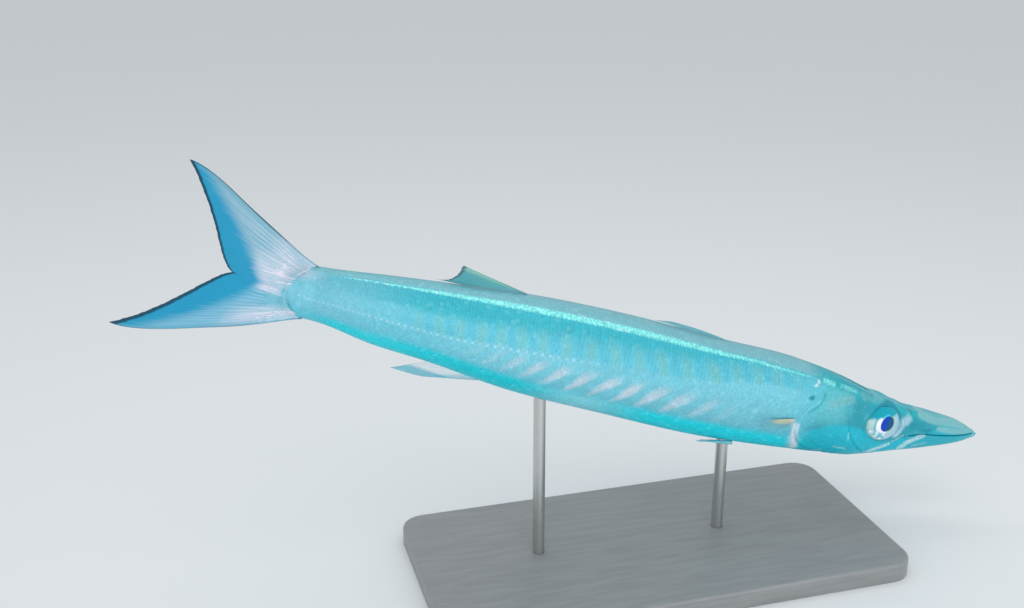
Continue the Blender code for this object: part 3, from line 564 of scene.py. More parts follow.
def new_piece(name, vertices, faces, material, attributes, nodes=(), bake_map=None):
    """A mesh object from arrays of points and of faces, with values at its points. It
    rides on the root, replaces the named nodes and takes its finish from a slot."""
    mesh = bpy.data.meshes.new(name)
    mesh.vertices.add(len(vertices))
    mesh.vertices.foreach_set("co", np.asarray(vertices, np.float32).ravel())
    corners = np.concatenate([part.ravel() for part in faces]).astype(np.int32)
    sizes = np.concatenate([np.full(len(part), part.shape[1]) for part in faces])
    starts = np.concatenate([[0], np.cumsum(sizes)[:-1]]).astype(np.int32)
    mesh.loops.add(len(corners))
    mesh.loops.foreach_set("vertex_index", corners)
    mesh.polygons.add(len(sizes))
    mesh.polygons.foreach_set("loop_start", starts)
    mesh.update(calc_edges=True)
    mesh.shade_smooth()
    for label, values in attributes.items():
        data = mesh.attributes.new(label, "FLOAT", "POINT").data
        data.foreach_set("value", np.asarray(values, np.float32).ravel())
    if bake_map is not None:
        layer = mesh.uv_layers.new(name="OFBake")
        layer.uv.foreach_set("vector", bake_map[corners].astype(np.float32).ravel())
    mesh.materials.append(material)
    item = bpy.data.objects.new(name, mesh)
    bpy.context.scene.collection.objects.link(item)
    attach(item, "root")
    if nodes:
        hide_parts(*nodes)
    return item


def grid_quads(rows, columns, around=False):
    """Quads between neighbours of a grid of points, joined round its columns if asked."""
    row = np.arange(rows - 1)[:, None]
    column = np.arange(columns if around else columns - 1)[None, :]
    here = row * columns + column
    beside = row * columns + (column + 1) % columns
    return np.stack([here, here + columns, beside + columns, beside], -1).reshape(-1, 4)


def pole_fans(rows, columns):
    """Triangles that close both ends of a grid joined round its columns: a fan from each of
    two poles, numbered after the grid's points, to its first and its last row."""
    index = np.arange(columns)
    following = (index + 1) % columns
    pole = rows * columns
    base = pole - columns
    first = np.stack([np.full(columns, pole), index, following], 1)
    last = np.stack([np.full(columns, pole + 1), base + following, base + index], 1)
    return [first, last]


def skin_stations(settings):
    """Stations of the skin's rings, close together on the head."""
    front = settings.ring_step_head / STANDARD_LENGTH
    rear = settings.ring_step_body / STANDARD_LENGTH
    nose = np.array([0.0002, 0.0006, 0.0012, 0.0022, 0.0035, 0.0050])
    head = np.arange(0.0065, 0.312, front)
    body = np.arange(head[-1] + rear, STALK_ROUND_START, rear)
    turn = np.radians(np.linspace(4.0, 88.0, 14))
    closing = np.sin(turn) ** (2.0 / STALK_ROUND_POWER)
    closing = STALK_ROUND_START + (STALK_ROUND_END - STALK_ROUND_START) * closing
    return np.concatenate([nose, head, body, closing])


def mouth_level(station):
    """Level of the mouth line on the section of each station, from its height."""
    table = np.asarray(MOUTH_LINE)
    height = np.interp(station, table[:, 0], table[:, 1]) * MM
    above, below, _, power = body_size(station)
    limit = np.where(height >= 0.0, above, below)
    part = np.clip(np.abs(height) / limit, 0.0, 0.98) ** (power / 2.0)
    return np.degrees(np.arcsin(part)) * np.sign(height)


def skin_levels(stations, count):
    """Levels round each ring, from the belly up one side. They crowd at the mouth line:
    the spacing is the inverse of 1 plus 5 times a bell, and each ring is then shifted near
    it so that one row of points follows the line."""
    middle = -6.0
    fine = np.linspace(-90.0, 90.0, 2001)
    crowd = 1.0 + 5.0 * bump_at(fine, middle, 6.0)
    share = np.concatenate([[0.0], np.cumsum(crowd[:-1] + crowd[1:])])
    even = np.interp(np.linspace(0.0, share[-1], count + 1), share, fine)
    shift = mouth_level(stations) - middle
    shift = shift * smooth_step((0.150 - stations) / 0.03) * smooth_step(stations / 0.01)
    return even[None, :] + shift[:, None] * bump_at(even, middle, 16.0)[None, :]


def build_skin(settings, material):
    """One closed skin from snout to tail. Rings of levels go up the left side and down
    the right one, at the lift of the skin, and the pose bends them."""
    stations = skin_stations(settings)
    half = settings.ring_points // 2
    levels = skin_levels(stations, half)
    station = np.repeat(stations[:, None], half + 1, 1)
    lift = skin_lift(station, levels)
    left = skin_place(station, levels, 1, lift)
    right = left[:, ::-1] * (1.0, -1.0, 1.0)
    ring = np.concatenate([left[:, :-1], right[:, :-1]], 1)
    level = np.concatenate([levels[:, :-1], levels[:, ::-1][:, :-1]], 1)
    around = np.repeat(stations[:, None], 2 * half, 1)
    _, height, _, _ = section(around, level)
    poles = np.array([[0.0, 0.0, -0.001], [-STALK_ROUND_END * STANDARD_LENGTH, 0.0, 0.0]])
    points = posed(np.vstack([ring.reshape(-1, 3), poles]))
    faces = [grid_quads(*level.shape, around=True)] + pole_fans(*level.shape)
    values = surface_values(around, level, height)
    closed = {name: np.append(data.ravel(), [data.ravel()[0], data.ravel()[-1]])
              for name, data in values.items()}
    return new_piece(
        "skin", points, faces, material, closed,
        nodes=("head", "lower_jaw", "gill_cover_left", "gill_cover_right", "torso_front",
               "torso_rear", "tail_stalk"),
    )


def surface_values(station, level, height):
    """What the body's paint reads at each point: where it is, how many bars lie ahead, the
    level of the lateral line, how far it is under the cheek, and the marks of the head."""
    values = {"station": station, "level": level, "lateral": lateral_level(station)}
    values["bars"] = smooth_through(
        BARS, np.arange(len(BARS)), np.clip(station, BARS[0], BARS[-1]),
    )
    on_head = station < HEAD_END + HEAD_RUNOUT
    place = (station[on_head], height[on_head])
    for label, table in HEAD_MARKS.items():
        values[label] = np.zeros(station.shape)
        values[label][on_head] = strokes(table, *place)
    distance, side = line_distance(LOW_CHEEK, *place)
    values["low"] = np.zeros(station.shape)
    values["low"][on_head] = smooth_step(0.5 - distance * side / (5.0 * MM))
    return values


def scale_columns(settings, first, last, finer):
    """Stations of the scale columns from first to last. The step shrinks with the girth of
    the body, as the 0.7th power of its share of the greatest girth."""
    fine = np.linspace(first, last, 4000)
    above, below, half_width, _ = body_size(fine)
    girth = above + below + 2.0 * half_width
    step = settings.scale_length / finer * (girth / GREATEST_GIRTH) ** 0.7 / STANDARD_LENGTH
    count = np.concatenate([[0.0], np.cumsum(np.diff(fine) / step[:-1])])
    whole = np.arange(int(count[-1]))
    return np.interp(whole, count, fine), np.interp(whole, count, step)


def lateral_level(station):
    """Level of the lateral line at a station."""
    table = np.asarray(LATERAL_LINE)
    return smooth_through(table[:, 0], table[:, 1], np.clip(station, 0.300, 1.000))


def scale_lattice(settings, first, last, finer):
    """Station, level, step and row width of every scale on one side. Columns alternate by
    half a row, and rows near the flank are shifted so that one follows the lateral line."""
    stations, steps = scale_columns(settings, first, last, finer)
    rows = int(settings.scale_rows * finer) // 2
    width = 180.0 / rows
    index = np.arange(rows) + 0.5
    stagger = (np.arange(len(stations)) % 2) * 0.5
    level = -90.0 + width * (index[None, :] + stagger[:, None] - 0.25)
    middle = 4.0
    shift = (lateral_level(stations) - middle)[:, None]
    level = level + shift * bump_at(level, middle, 30.0)
    station = np.repeat(stations[:, None], rows, 1)
    step = np.repeat(steps[:, None], rows, 1)
    return station, level, step, width


def scaled_skin(station, level):
    """True where the body carries scales: not round the eye, on the throat, or along the
    edges of the gill cover and the cheek."""
    _, height, _, _ = section(station, level)
    keep = np.ones(station.shape, bool)
    head = station < HEAD_END + 0.03
    place = (station[head], height[head])
    gill, _ = line_distance(GILL_MARGIN, *place)
    cheek, _ = line_distance(CHEEK_EDGE, *place)
    clear = (gill > 3.0 * MM) & (cheek > 2.4 * MM) & (eye_radius(*place) > 1.5)
    throat = (station[head] < 0.285) & (height[head] < -26.0 * MM)
    keep[head] = clear & ~throat
    return keep


def scale_plate(lift):
    """The plate of one scale, 17 points: how far each lies rearward and sideways in steps
    and rows, its lift, and whether it is on the rim. A middle point and a rim of eight make
    a top that slopes up to its rounded rear edge, and eight more its flat back."""
    turn = np.radians(np.arange(PLATE_RIM) * 45.0)
    along = np.where(np.cos(turn) > 0.0, 0.92, 0.80) * np.cos(turn)
    across = 0.60 * np.sin(turn) * (1.0 + 0.08 * np.cos(turn))
    rim = lift * (0.50 + 0.50 * along / 0.92) - 0.04 * MM * np.abs(np.sin(turn)) - 0.07 * MM
    middle = 0.56 * lift
    along = np.concatenate([[0.08], along, along])
    across = np.concatenate([[0.0], across, across])
    edge = np.concatenate([[0.0], np.ones(PLATE_RIM), np.ones(PLATE_RIM)])
    return along, across, np.concatenate([[middle], rim, rim - 0.12 * MM]), edge


def plate_faces():
    """Triangles of one plate: its top, its thin wall and its back."""
    here = np.arange(PLATE_RIM) + 1
    following = here % PLATE_RIM + 1
    top = np.stack([np.zeros(PLATE_RIM, int), here, following], 1)
    wall = np.stack([here, here + PLATE_RIM, following + PLATE_RIM, following], 1)
    wall = np.vstack([wall[:, (0, 1, 2)], wall[:, (0, 2, 3)]])
    first = PLATE_RIM + 1
    next_two = np.arange(first + 1, PLATE_POINTS - 1)
    back = np.stack([np.full(len(next_two), first), next_two + 1, next_two], 1)
    return np.vstack([top, wall, back])


def plate_triangles(count, sign):
    """Triangles of many plates, turned over where the sign is negative."""
    starts = (np.arange(count) * PLATE_POINTS)[:, None, None]
    return (starts + plate_faces()[None, :, ::sign]).reshape(-1, 3)


def crisp_rims(item):
    """Crisp edges round the top of each plate, so that its face stays flat."""
    mesh = item.data
    ends = np.empty(len(mesh.edges) * 2, np.int32)
    mesh.edges.foreach_get("vertices", ends)
    place = ends.reshape(-1, 2) % PLATE_POINTS
    rim = (place >= 1) & (place <= PLATE_RIM)
    mesh.edges.foreach_set("use_edge_sharp", rim.all(axis=1))


def build_scales(settings, material, side, name, first, last, finer):
    """A band of overlapping scales on one side, from one station to another and finer than
    on the body by a share. The points of each plate are placed by station, level and lift,
    so that it follows the body."""
    station, level, step, width = scale_lattice(settings, first, last, finer)
    keep = scaled_skin(station, level) & (level > -91.0) & (level < 91.0)
    station, level, step = station[keep], level[keep], step[keep]
    count = len(station)
    draw = np.random.default_rng(settings.seed + side).uniform(0.0, 1.0, (3, count))
    along, across, lift, edge = scale_plate(settings.scale_lift / finer)
    size = 0.95 + 0.10 * draw[0]
    points_station = station[:, None] + along[None, :] * (step * size)[:, None]
    points_level = level[:, None] + across[None, :] * (width * size)[:, None]
    tilt = 0.06 * MM * (draw[1] - 0.5)[:, None] * across[None, :]
    points_lift = lift[None, :] + tilt + skin_lift(station, level)[:, None]
    over = np.abs(points_level) > 90.0
    folded = np.where(over, np.sign(points_level) * 180.0 - points_level, points_level)
    places = skin_place(points_station, folded, 1, points_lift)
    values = surface_values(points_station, folded, places[..., 2])
    places[..., 1] *= np.where(over, -side, side)
    values["shade"] = np.repeat(draw[2][:, None], PLATE_POINTS, 1)
    values["edge"] = np.repeat(edge[None, :], count, 0)
    values["rearward"] = np.repeat(along[None, :], count, 0)
    lateral = bump_at(level, lateral_level(station), width * 0.45) * (station > HEAD_END)
    values["pore"] = np.repeat(lateral[:, None], PLATE_POINTS, 1) * (1.0 - edge[None, :])
    root = np.stack([0.01 + 0.98 * station, 0.02 + 0.96 * (level + 90.0) / 180.0], 1)
    patch = np.stack([along, across], 1)[None] * HALF_PATCH
    bake_map = (root[:, None, :] + patch).reshape(-1, 2)
    item = new_piece(
        name, posed(places.reshape(-1, 3)), [plate_triangles(count, side)], material, values,
        bake_map=bake_map,
    )
    crisp_rims(item)


def build_eye(side, material):
    """An eye: rings about its middle. The front is a plane fitted to the flank round the
    orbit plus a crown of 1 minus the squared radius, and the back is a shallow bowl."""
    turn = np.linspace(0.0, 2.0 * math.pi, 72, endpoint=False)
    ring_along = np.cos(turn)
    ring_up = np.sin(turn)
    station = EYE_STATION - ring_along * EYE_HALF_LENGTH / STANDARD_LENGTH
    height = EYE_HEIGHT + ring_up * EYE_HALF_HEIGHT
    known = np.stack([np.ones(len(turn)), ring_along, ring_up], 1)
    flank = flank_side(station, height)
    level, slope_along, slope_up = np.linalg.lstsq(known, flank, rcond=None)[0]
    front = np.concatenate([np.linspace(0.02, 0.96, 30), [1.0, 1.03]])
    back = np.linspace(0.98, 0.05, 8)
    radius = np.concatenate([front, back])[:, None]
    along = radius * ring_along[None, :]
    up = radius * ring_up[None, :]
    plane = level + slope_along * along + slope_up * up
    crown = EYE_BULGE * (1.0 - radius ** 2) - 0.5 * MM * smooth_step((radius - 0.9) / 0.13)
    off_along = (along - PUPIL_CENTRE[0]) / PUPIL_SIZE[0]
    pupil = np.hypot(off_along, (up - PUPIL_CENTRE[1]) / PUPIL_SIZE[1])
    crown = crown + 0.22 * MM * bump_at(pupil, 1.12, 0.12)
    crown = crown - PUPIL_DIP * smooth_step((1.0 - pupil) / 0.2)
    bowl = -EYE_DEPTH * np.sqrt(np.maximum(1.0 - radius ** 2, 0.0)) - 1.0 * MM
    is_front = (np.arange(len(radius)) < len(front))[:, None]
    out = plane + np.where(is_front, crown, bowl)
    x = -EYE_STATION * STANDARD_LENGTH + along * EYE_HALF_LENGTH
    z = EYE_HEIGHT + up * EYE_HALF_HEIGHT
    grid = np.stack([x, side * out, z], -1)
    middle_out = level + EYE_BULGE - PUPIL_DIP
    ends = np.array([
        [-EYE_STATION * STANDARD_LENGTH, side * middle_out, EYE_HEIGHT],
        [-EYE_STATION * STANDARD_LENGTH, side * (level - EYE_DEPTH - 1.0 * MM), EYE_HEIGHT],
    ])
    faces = [grid_quads(*along.shape, around=True)] + pole_fans(*along.shape)
    if side > 0:
        faces = [part[:, ::-1] for part in faces]
    values = {
        "along": np.append(along.ravel(), [0.0, 0.0]),
        "up": np.append(up.ravel(), [0.0, 0.0]),
    }
    word = "left" if side > 0 else "right"
    points = posed(np.vstack([grid.reshape(-1, 3), ends]))
    return new_piece("eyeball_" + word, points, faces, material, values,
                     nodes=("eye_" + word,))


def in_plane(points):
    """Points of the middle plane from stations and heights in standard lengths."""
    points = np.asarray(points, float) * STANDARD_LENGTH
    return np.stack([-points[..., 0], np.zeros(points.shape[:-1]), points[..., 1]], -1)


def ray_relief(across, along, rays):
    """Height of the rays over the web, 0 to 1, on a grid of parts across and along the fin.
    A ray is the square of a raised cosine across the fin. It halves its spacing where it
    branches, at about half its length."""
    single = (0.5 + 0.5 * np.cos(2.0 * math.pi * rays * across)) ** 2
    double = (0.5 - 0.5 * np.cos(4.0 * math.pi * rays * across)) ** 2
    split = smooth_step((along - 0.42) / 0.18)
    return single * (1.0 - split) + 0.75 * double * split


def fin_piece(name, middle, normals, half, values, material, nodes):
    """A closed thin fin: both faces of a grid of points, half a thickness to either side
    of it, joined round the border."""
    rows, columns, _ = middle.shape
    offset = normals * half[..., None]
    points = np.concatenate([(middle + offset).reshape(-1, 3), (middle - offset).reshape(-1, 3)])
    other = rows * columns
    face = grid_quads(rows, columns)
    border = np.concatenate([
        np.arange(columns - 1),
        np.arange(rows - 1) * columns + columns - 1,
        (rows - 1) * columns + np.arange(columns - 1, 0, -1),
        np.arange(rows - 1, 0, -1) * columns,
    ])
    following = np.roll(border, -1)
    rim = np.stack([border, following, following + other, border + other], 1)
    spread = {label: np.tile(data.ravel(), 2) for label, data in values.items()}
    item = new_piece(name, posed(points), [face, face[:, ::-1] + other, rim], material, spread,
                     nodes=nodes)
    turn_outward(item)
    return item


def turn_outward(item):
    """Turn every face of a closed mesh outward if its volume comes out negative. The volume
    is a sixth of the sum over triangles of the corners' triple products."""
    mesh = item.data
    mesh.calc_loop_triangles()
    corners = np.empty(len(mesh.loop_triangles) * 3, np.int32)
    mesh.loop_triangles.foreach_get("vertices", corners)
    places = np.empty(len(mesh.vertices) * 3, np.float32)
    mesh.vertices.foreach_get("co", places)
    triangles = places.reshape(-1, 3)[corners].reshape(-1, 3, 3)
    volume = (triangles[:, 0] * np.cross(triangles[:, 1], triangles[:, 2])).sum()
    if volume < 0.0:
        mesh.flip_normals()


def fin_half(across, along, rays, root_half, fall):
    """Half thickness of a fin: a web that thins from root to margin, and rays on it."""
    web = WEB_EDGE_HALF + (root_half - WEB_EDGE_HALF) * (1.0 - along) ** fall
    rise = RAY_RISE * (1.0 - 0.72 * along) * smooth_step((1.02 - along) / 0.04)
    return web + rise * ray_relief(across, along, rays)


def fin_grid(columns, rows):
    """Parts across (columns) and along (rows) a fin, as two grids."""
    sides = np.linspace(0.0, 1.0, columns), np.linspace(0.0, 1.0, rows)
    return np.meshgrid(*sides, indexing="ij")


def ragged(across, along, seed, depth):
    """Parts along a fin, drawn in a little near the margin by a seeded sum of waves."""
    cycles = (37.0, 61.0, 97.0, 149.0)
    draw = np.random.default_rng(seed).uniform(0.0, 2.0 * math.pi, len(cycles))
    waves = sum(np.sin(across * cycle + shift) for cycle, shift in zip(cycles, draw))
    return along * (1.0 - depth * (0.5 + 0.125 * waves))


def waved(middle, across, along, depth):
    """Push a median fin's grid sideways in slow waves that grow toward its margin."""
    wave = np.sin(across * 7.0 + along * 2.0) + 0.5 * np.sin(across * 15.0 + 1.3)
    middle[..., 1] += depth * wave * along ** 1.5
    return middle


def sideways(middle):
    """Unit directions to the fish's left for a median fin."""
    normals = np.zeros_like(middle)
    normals[..., 1] = 1.0
    return normals


def stalk_end_curve(part, sign, inside):
    """Station and height along the rounded end of the stalk, from its edge (0) to the
    middle (1), some way inside it, in standard lengths."""
    turn = part * math.pi / 2.0
    power = 2.0 / STALK_ROUND_POWER
    run = np.sin(turn) ** power
    station = STALK_ROUND_START + (STALK_ROUND_END - STALK_ROUND_START) * run
    above, below, _, _ = body_size(station)
    edge = (above if sign > 0 else -below) / STANDARD_LENGTH
    height = edge * np.cos(turn) ** power
    middle = STALK_ROUND_START - 0.010
    away = np.hypot(station - middle, height)
    keep = 1.0 - inside / STANDARD_LENGTH / away
    return np.stack([middle + (station - middle) * keep, height * keep], -1)


def lobe_middle(lobe, across, along):
    """Middle surface of a lobe: straight rays from the stalk's end to the trailing edge,
    bowed toward the leading edge by its own bow times (1 - part across)^1.5."""
    sign = lobe["sign"]
    inside = LOBE_ROOT_INSIDE * smooth_step(across * 5.0)
    roots = stalk_end_curve(0.03 + 0.97 * across, sign, inside)
    roots[..., 1] = np.where(across >= 0.999, -sign * FORK_OVERLAP, roots[..., 1])
    first_root = stalk_end_curve(np.array([0.03]), sign, 0.0)[0]
    tips = cubic(lobe["trailing"], across ** 1.15)
    tips[..., 1] -= sign * FORK_OVERLAP * 2.0 * across ** 4
    part = along[..., None]
    lead = cubic(lobe["leading"], along)
    lead_root = cubic(lobe["leading"], 0.0)
    lead_tip = cubic(lobe["leading"], 1.0)
    lead = lead + (first_root - lead_root) * (1.0 - part) ** 2
    bow = lead - first_root * (1.0 - part) - lead_tip * part
    chord = roots * (1.0 - part) + tips * part
    middle = in_plane(chord + bow * ((1.0 - across) ** 1.5)[..., None])
    return waved(middle, across, along, 0.5 * MM)


def lobe_half(settings, across, along):
    """Half thickness of a lobe, with a thick scaly base."""
    root_half = LOBE_ROOT_HALF * (0.40 + 0.60 * smooth_step(across * 2.5))
    half = fin_half(across, along, settings.tail_rays, root_half, 1.4)
    fillet = np.maximum(1.0 - along / 0.18, 0.0) ** 2
    thick = (0.7 + 2.3 * bump_at(across, 0.5, 0.32)) * MM
    half = half + thick * fillet * smooth_step(across * 5.0)
    return half * (1.0 + 1.6 * bump_at(across, 0.0, 0.02) * (1.0 - along))


def build_lobe(settings, name, node, lobe, material):
    """A lobe of the tail fin."""
    across, along = fin_grid(12 * settings.tail_rays + 1, 56)
    part = ragged(across, along, 5 + lobe["sign"], 0.012)
    middle = lobe_middle(lobe, across, part)
    half = lobe_half(settings, across, along)
    values = {"across": across, "along": along}
    return fin_piece(name, middle, sideways(middle), half, values, material, (node,))


def build_lobe_scales(settings, name, lobe, material):
    """Small scales on the base of a lobe, on both sides. They thin out rearward, and lie
    along the rays: each plate is turned to the lobe's own directions there."""
    columns = LOBE_SCALE_COLUMNS
    index = np.arange(columns * LOBE_SCALE_ROWS)
    column, row = index % columns, index // columns
    across = (column + 0.5 * (row % 2) + 0.25) / columns
    along = 0.015 + 0.020 * row
    random = np.random.default_rng(settings.seed + 7 * lobe["sign"] + 9)
    draw = random.uniform(0.0, 1.0, (3, len(index)))
    keep = draw[0] > smooth_step((along - 0.10) / 0.24)
    keep &= (across > 0.02) & (across < 0.985)
    across, along, draw = across[keep], along[keep], draw[:, keep]
    count = len(across)
    small = 1e-3
    centre = lobe_middle(lobe, across, along)
    rearward = lobe_middle(lobe, across, along + small) - centre
    sideward = lobe_middle(lobe, across + small, along) - centre
    rearward = rearward / np.linalg.norm(rearward, axis=1)[:, None]
    spread = np.linalg.norm(sideward, axis=1)[:, None] / small / columns
    sideward = sideward / np.linalg.norm(sideward, axis=1)[:, None]
    plate_along, plate_across, lift, edge = scale_plate(LOBE_SCALE_LIFT)
    half = lobe_half(settings, across, along)[:, None] + lift[None, :]
    length = LOBE_SCALE_LENGTH * (0.8 + 0.4 * draw[1])[:, None, None]
    width = np.minimum(spread * 1.25, 3.0 * MM)[:, None]
    flat = rearward[:, None] * plate_along[None, :, None] * length
    flat = flat + sideward[:, None] * plate_across[None, :, None] * width
    points = []
    triangles = []
    for side in (1, -1):
        places = centre[:, None] + flat
        places[..., 1] += side * half
        first = len(points) * count * PLATE_POINTS
        triangles.append(plate_triangles(count, side * lobe["sign"]) + first)
        points.append(places.reshape(-1, 3))
    values = {
        label: np.tile(np.repeat(data, PLATE_POINTS), 2)
        for label, data in (("across", across), ("along", along), ("shade", draw[2]))
    }
    values["edge"] = np.tile(edge, 2 * count)
    shelf = 0.37 if lobe["sign"] > 0 else 0.02
    root = np.stack([0.80 + 0.15 * along, shelf + 0.30 * across], 1)
    patch = np.stack([plate_along, plate_across], 1)[None] * HALF_PATCH
    bake_map = np.tile((root[:, None] + patch).reshape(-1, 2), (2, 1))
    item = new_piece(name, posed(np.vstack(points)), triangles, material, values,
                     bake_map=bake_map)
    crisp_rims(item)


def build_median_fin(settings, name, root, margin, sign, material):
    """The second dorsal (1) or the anal fin (-1): straight rays from the back or belly to a
    curved margin."""
    rays = settings.median_rays
    across, along = fin_grid(10 * rays + 1, 36)
    fan = across[:, 0]
    station = root[0] + (root[1] - root[0]) * fan
    above, below, _, _ = body_size(station)
    edge = above if sign > 0 else -below
    roots = np.stack([station, (edge + sign * ROOT_GAP) / STANDARD_LENGTH], 1)
    tips = quadratic(margin, fan)
    part = ragged(across, along, 11 + sign, 0.03)[..., None]
    middle = in_plane(roots[:, None] * (1.0 - part) + tips[:, None] * part)
    middle = waved(middle, across, along, 0.35 * MM)
    half = fin_half(across, along, rays, WEB_ROOT_HALF, 0.8)
    half = half * (1.0 + 1.2 * bump_at(across, 0.0, 0.03))
    values = {"across": across, "along": along}
    nodes = (name + "_fin",)
    return fin_piece(name, middle, sideways(middle), half, values, material, nodes)


def build_first_dorsal(material):
    """Five spines and their web folded flat along the back: each spine rises from its root
    as a sine and lies back over the next one's root."""
    across, along = fin_grid(16 * (SPINE_COUNT - 1) + 1, 44)
    index = across * (SPINE_COUNT - 1.0)
    root_station = SPINE_ROOT_FIRST + SPINE_ROOT_STEP * index
    tip_station = SPINE_TIP_FIRST + SPINE_TIP_STEP * index
    lift = (ROOT_GAP + SPINE_FOLD_HEIGHT * (1.0 - index / SPINE_COUNT)) / STANDARD_LENGTH
    station = root_station * (1.0 - along) + tip_station * along
    above, _, _, _ = body_size(station)
    rise = lift * np.sin(along * math.pi * 0.62) ** 0.8
    height = (above + ROOT_GAP) / STANDARD_LENGTH + rise
    middle = in_plane(np.stack([station, height], -1))
    spine = (0.5 + 0.5 * np.cos(2.0 * math.pi * index)) ** 4
    half = WEB_EDGE_HALF + 0.16 * MM + 0.42 * MM * spine * (1.0 - 0.7 * along)
    values = {"across": across, "along": along}
    return fin_piece("first_dorsal", middle, sideways(middle), half, values, material,
                     ("first_dorsal_fin",))


def build_paired_fin(settings, kind, sizes, side, material):
    """A pectoral or pelvic fin: rays leave a line of roots on the skin, lean outward by the
    stand-off and spread from the first drop to the last."""
    rays = settings.paired_rays
    across, along = fin_grid(10 * rays + 1, 32)
    fan = across[:, 0]
    (first_station, first_level), (last_station, last_level) = sizes["root"]
    station = first_station + (last_station - first_station) * fan
    level = first_level + (last_level - first_level) * fan
    off = math.radians(sizes["stand_off"])
    lift = GAP * 1.2 + sizes["root_half"] / math.cos(off)
    roots = skin_place(station, level, 1, lift)
    outward = skin_place(station, level, 1, lift + 1.0 * MM) - roots
    outward = outward / np.linalg.norm(outward, axis=1)[:, None]
    rearward = np.array([-1.0, 0.0, 0.0])
    downward = np.cross(outward, rearward)
    downward = downward * np.sign(-downward[:, 2:3])
    first_drop, last_drop = sizes["drops"]
    drop = np.radians(first_drop + (last_drop - first_drop) * fan)[:, None]
    flat = rearward * np.cos(drop) + downward * np.sin(drop)
    heading = flat * math.cos(off) + outward * math.sin(off)
    longest, shortest = np.asarray(sizes["lengths"]) * MM
    length = shortest + (longest - shortest) * (1.0 - fan) ** 1.3
    part = ragged(across, along, 23, 0.05)[..., None]
    middle = roots[:, None] + (heading * length[:, None])[:, None] * part
    middle = middle + outward[:, None] * (0.5 * MM * np.sin(across * 6.0) * along ** 2)[..., None]
    normals = np.cross(np.gradient(middle, axis=0), np.gradient(middle, axis=1))
    normals = normals / np.linalg.norm(normals, axis=2)[..., None]
    half = fin_half(across, along, rays, PAIRED_ROOT_HALF, 0.8)
    half = half * (1.0 + 1.1 * bump_at(across, 0.0, 0.05))
    middle[..., 1] *= side
    normals[..., 1] *= side
    values = {"across": across, "along": along}
    word = "_left" if side > 0 else "_right"
    nodes = (kind + "_fin" + word,)
    return fin_piece(kind + word, middle, normals, half, values, material, nodes)


class Shade:
    """A value or colour in a material: one output socket, with Python's operators."""

    def __init__(self, tree, socket=None):
        self.tree = tree
        self.socket = socket

    def make(self, kind, settings=None, inputs=None, output=0):
        """A new node: its settings first, then the values or links of its sockets."""
        node = self.tree.nodes.new(kind)
        for name, value in (settings or {}).items():
            setattr(node, name, value)
        for name, value in (inputs or {}).items():
            if isinstance(value, Shade):
                self.tree.links.new(value.socket, node.inputs[name])
            else:
                node.inputs[name].default_value = value
        return Shade(self.tree, node.outputs[output])

    def math(self, operation, *others):
        """A Math node of this value and others."""
        inputs = {0: self}
        inputs.update({place + 1: other for place, other in enumerate(others)})
        return self.make("ShaderNodeMath", {"operation": operation}, inputs)

    def __add__(self, other):
        return self.math("ADD", other)

    __radd__ = __add__

    def __mul__(self, other):
        return self.math("MULTIPLY", other)

    __rmul__ = __mul__

    def __sub__(self, other):
        return self.math("SUBTRACT", other)

    def __rsub__(self, other):
        return self.make("ShaderNodeMath", {"operation": "SUBTRACT"}, {0: other, 1: self})

    def __truediv__(self, other):
        return self.math("DIVIDE", other)

    def __pow__(self, other):
        return self.math("POWER", other)

    def smooth(self, low, high):
        """0 at low, 1 at high and a soft rise between, also with low above high."""
        return self.make(
            "ShaderNodeMapRange", {"interpolation_type": "SMOOTHSTEP"},
            {"Value": self, "From Min": low, "From Max": high},
        )

    def bell(self, centre, width):
        """1 at the centre, falling softly to 0 a width away from it."""
        return (self - centre).math("ABSOLUTE").smooth(width, 0.0)

    def colour_mix(self, first, second):
        """Colours from first, at 0, to second, at 1. A plain colour gets full opacity."""
        first, second = (
            tint if isinstance(tint, Shade) else (*tint[:3], 1.0) for tint in (first, second)
        )
        return self.make(
            "ShaderNodeMix", {"data_type": "RGBA", "clamp_factor": True},
            {0: self, 6: first, 7: second}, output=2,
        )

    def dimmed(self, share):
        """This colour multiplied by a share."""
        return self.make(
            "ShaderNodeVectorMath", {"operation": "SCALE"}, {0: self, "Scale": share},
        )

    def bump(self, strength, distance):
        """Normals of a surface that this value raises."""
        return self.make(
            "ShaderNodeBump", None,
            {"Strength": strength, "Distance": distance, "Height": self}, output="Normal",
        )

    def attribute(self, name):
        """A value that the piece's mesh carries."""
        return self.make("ShaderNodeAttribute", {"attribute_name": name}, output="Fac")

    def place(self, stretch=(1.0, 1.0, 1.0)):
        """Object coordinates, stretched."""
        coordinates = self.make("ShaderNodeTexCoord", output="Object")
        return self.make("ShaderNodeMapping", None, {"Vector": coordinates, "Scale": stretch})

    def vector(self, x, y, z=0.0):
        """A vector from three values."""
        return self.make("ShaderNodeCombineXYZ", None, {"X": x, "Y": y, "Z": z})

    def noise(self, vector, scale, detail=3.0):
        """Cloudy noise, 0 to 1."""
        return self.make(
            "ShaderNodeTexNoise", None, {"Vector": vector, "Scale": scale, "Detail": detail},
        )


def new_material(name, look):
    """A material and the start of its expressions. Uniform values are set on the shader."""
    material = bpy.data.materials.new(name)
    material.use_nodes = True
    shader = material.node_tree.nodes["Principled BSDF"]
    for socket, value in look.items():
        shader.inputs[socket].default_value = value
    return material, shader, Shade(material.node_tree)


def connect(paint, shader, **sockets):
    """Link expressions to the shader's sockets, named with underscores for spaces."""
    for name, value in sockets.items():
        paint.tree.links.new(value.socket, shader.inputs[name.replace("_", " ")])


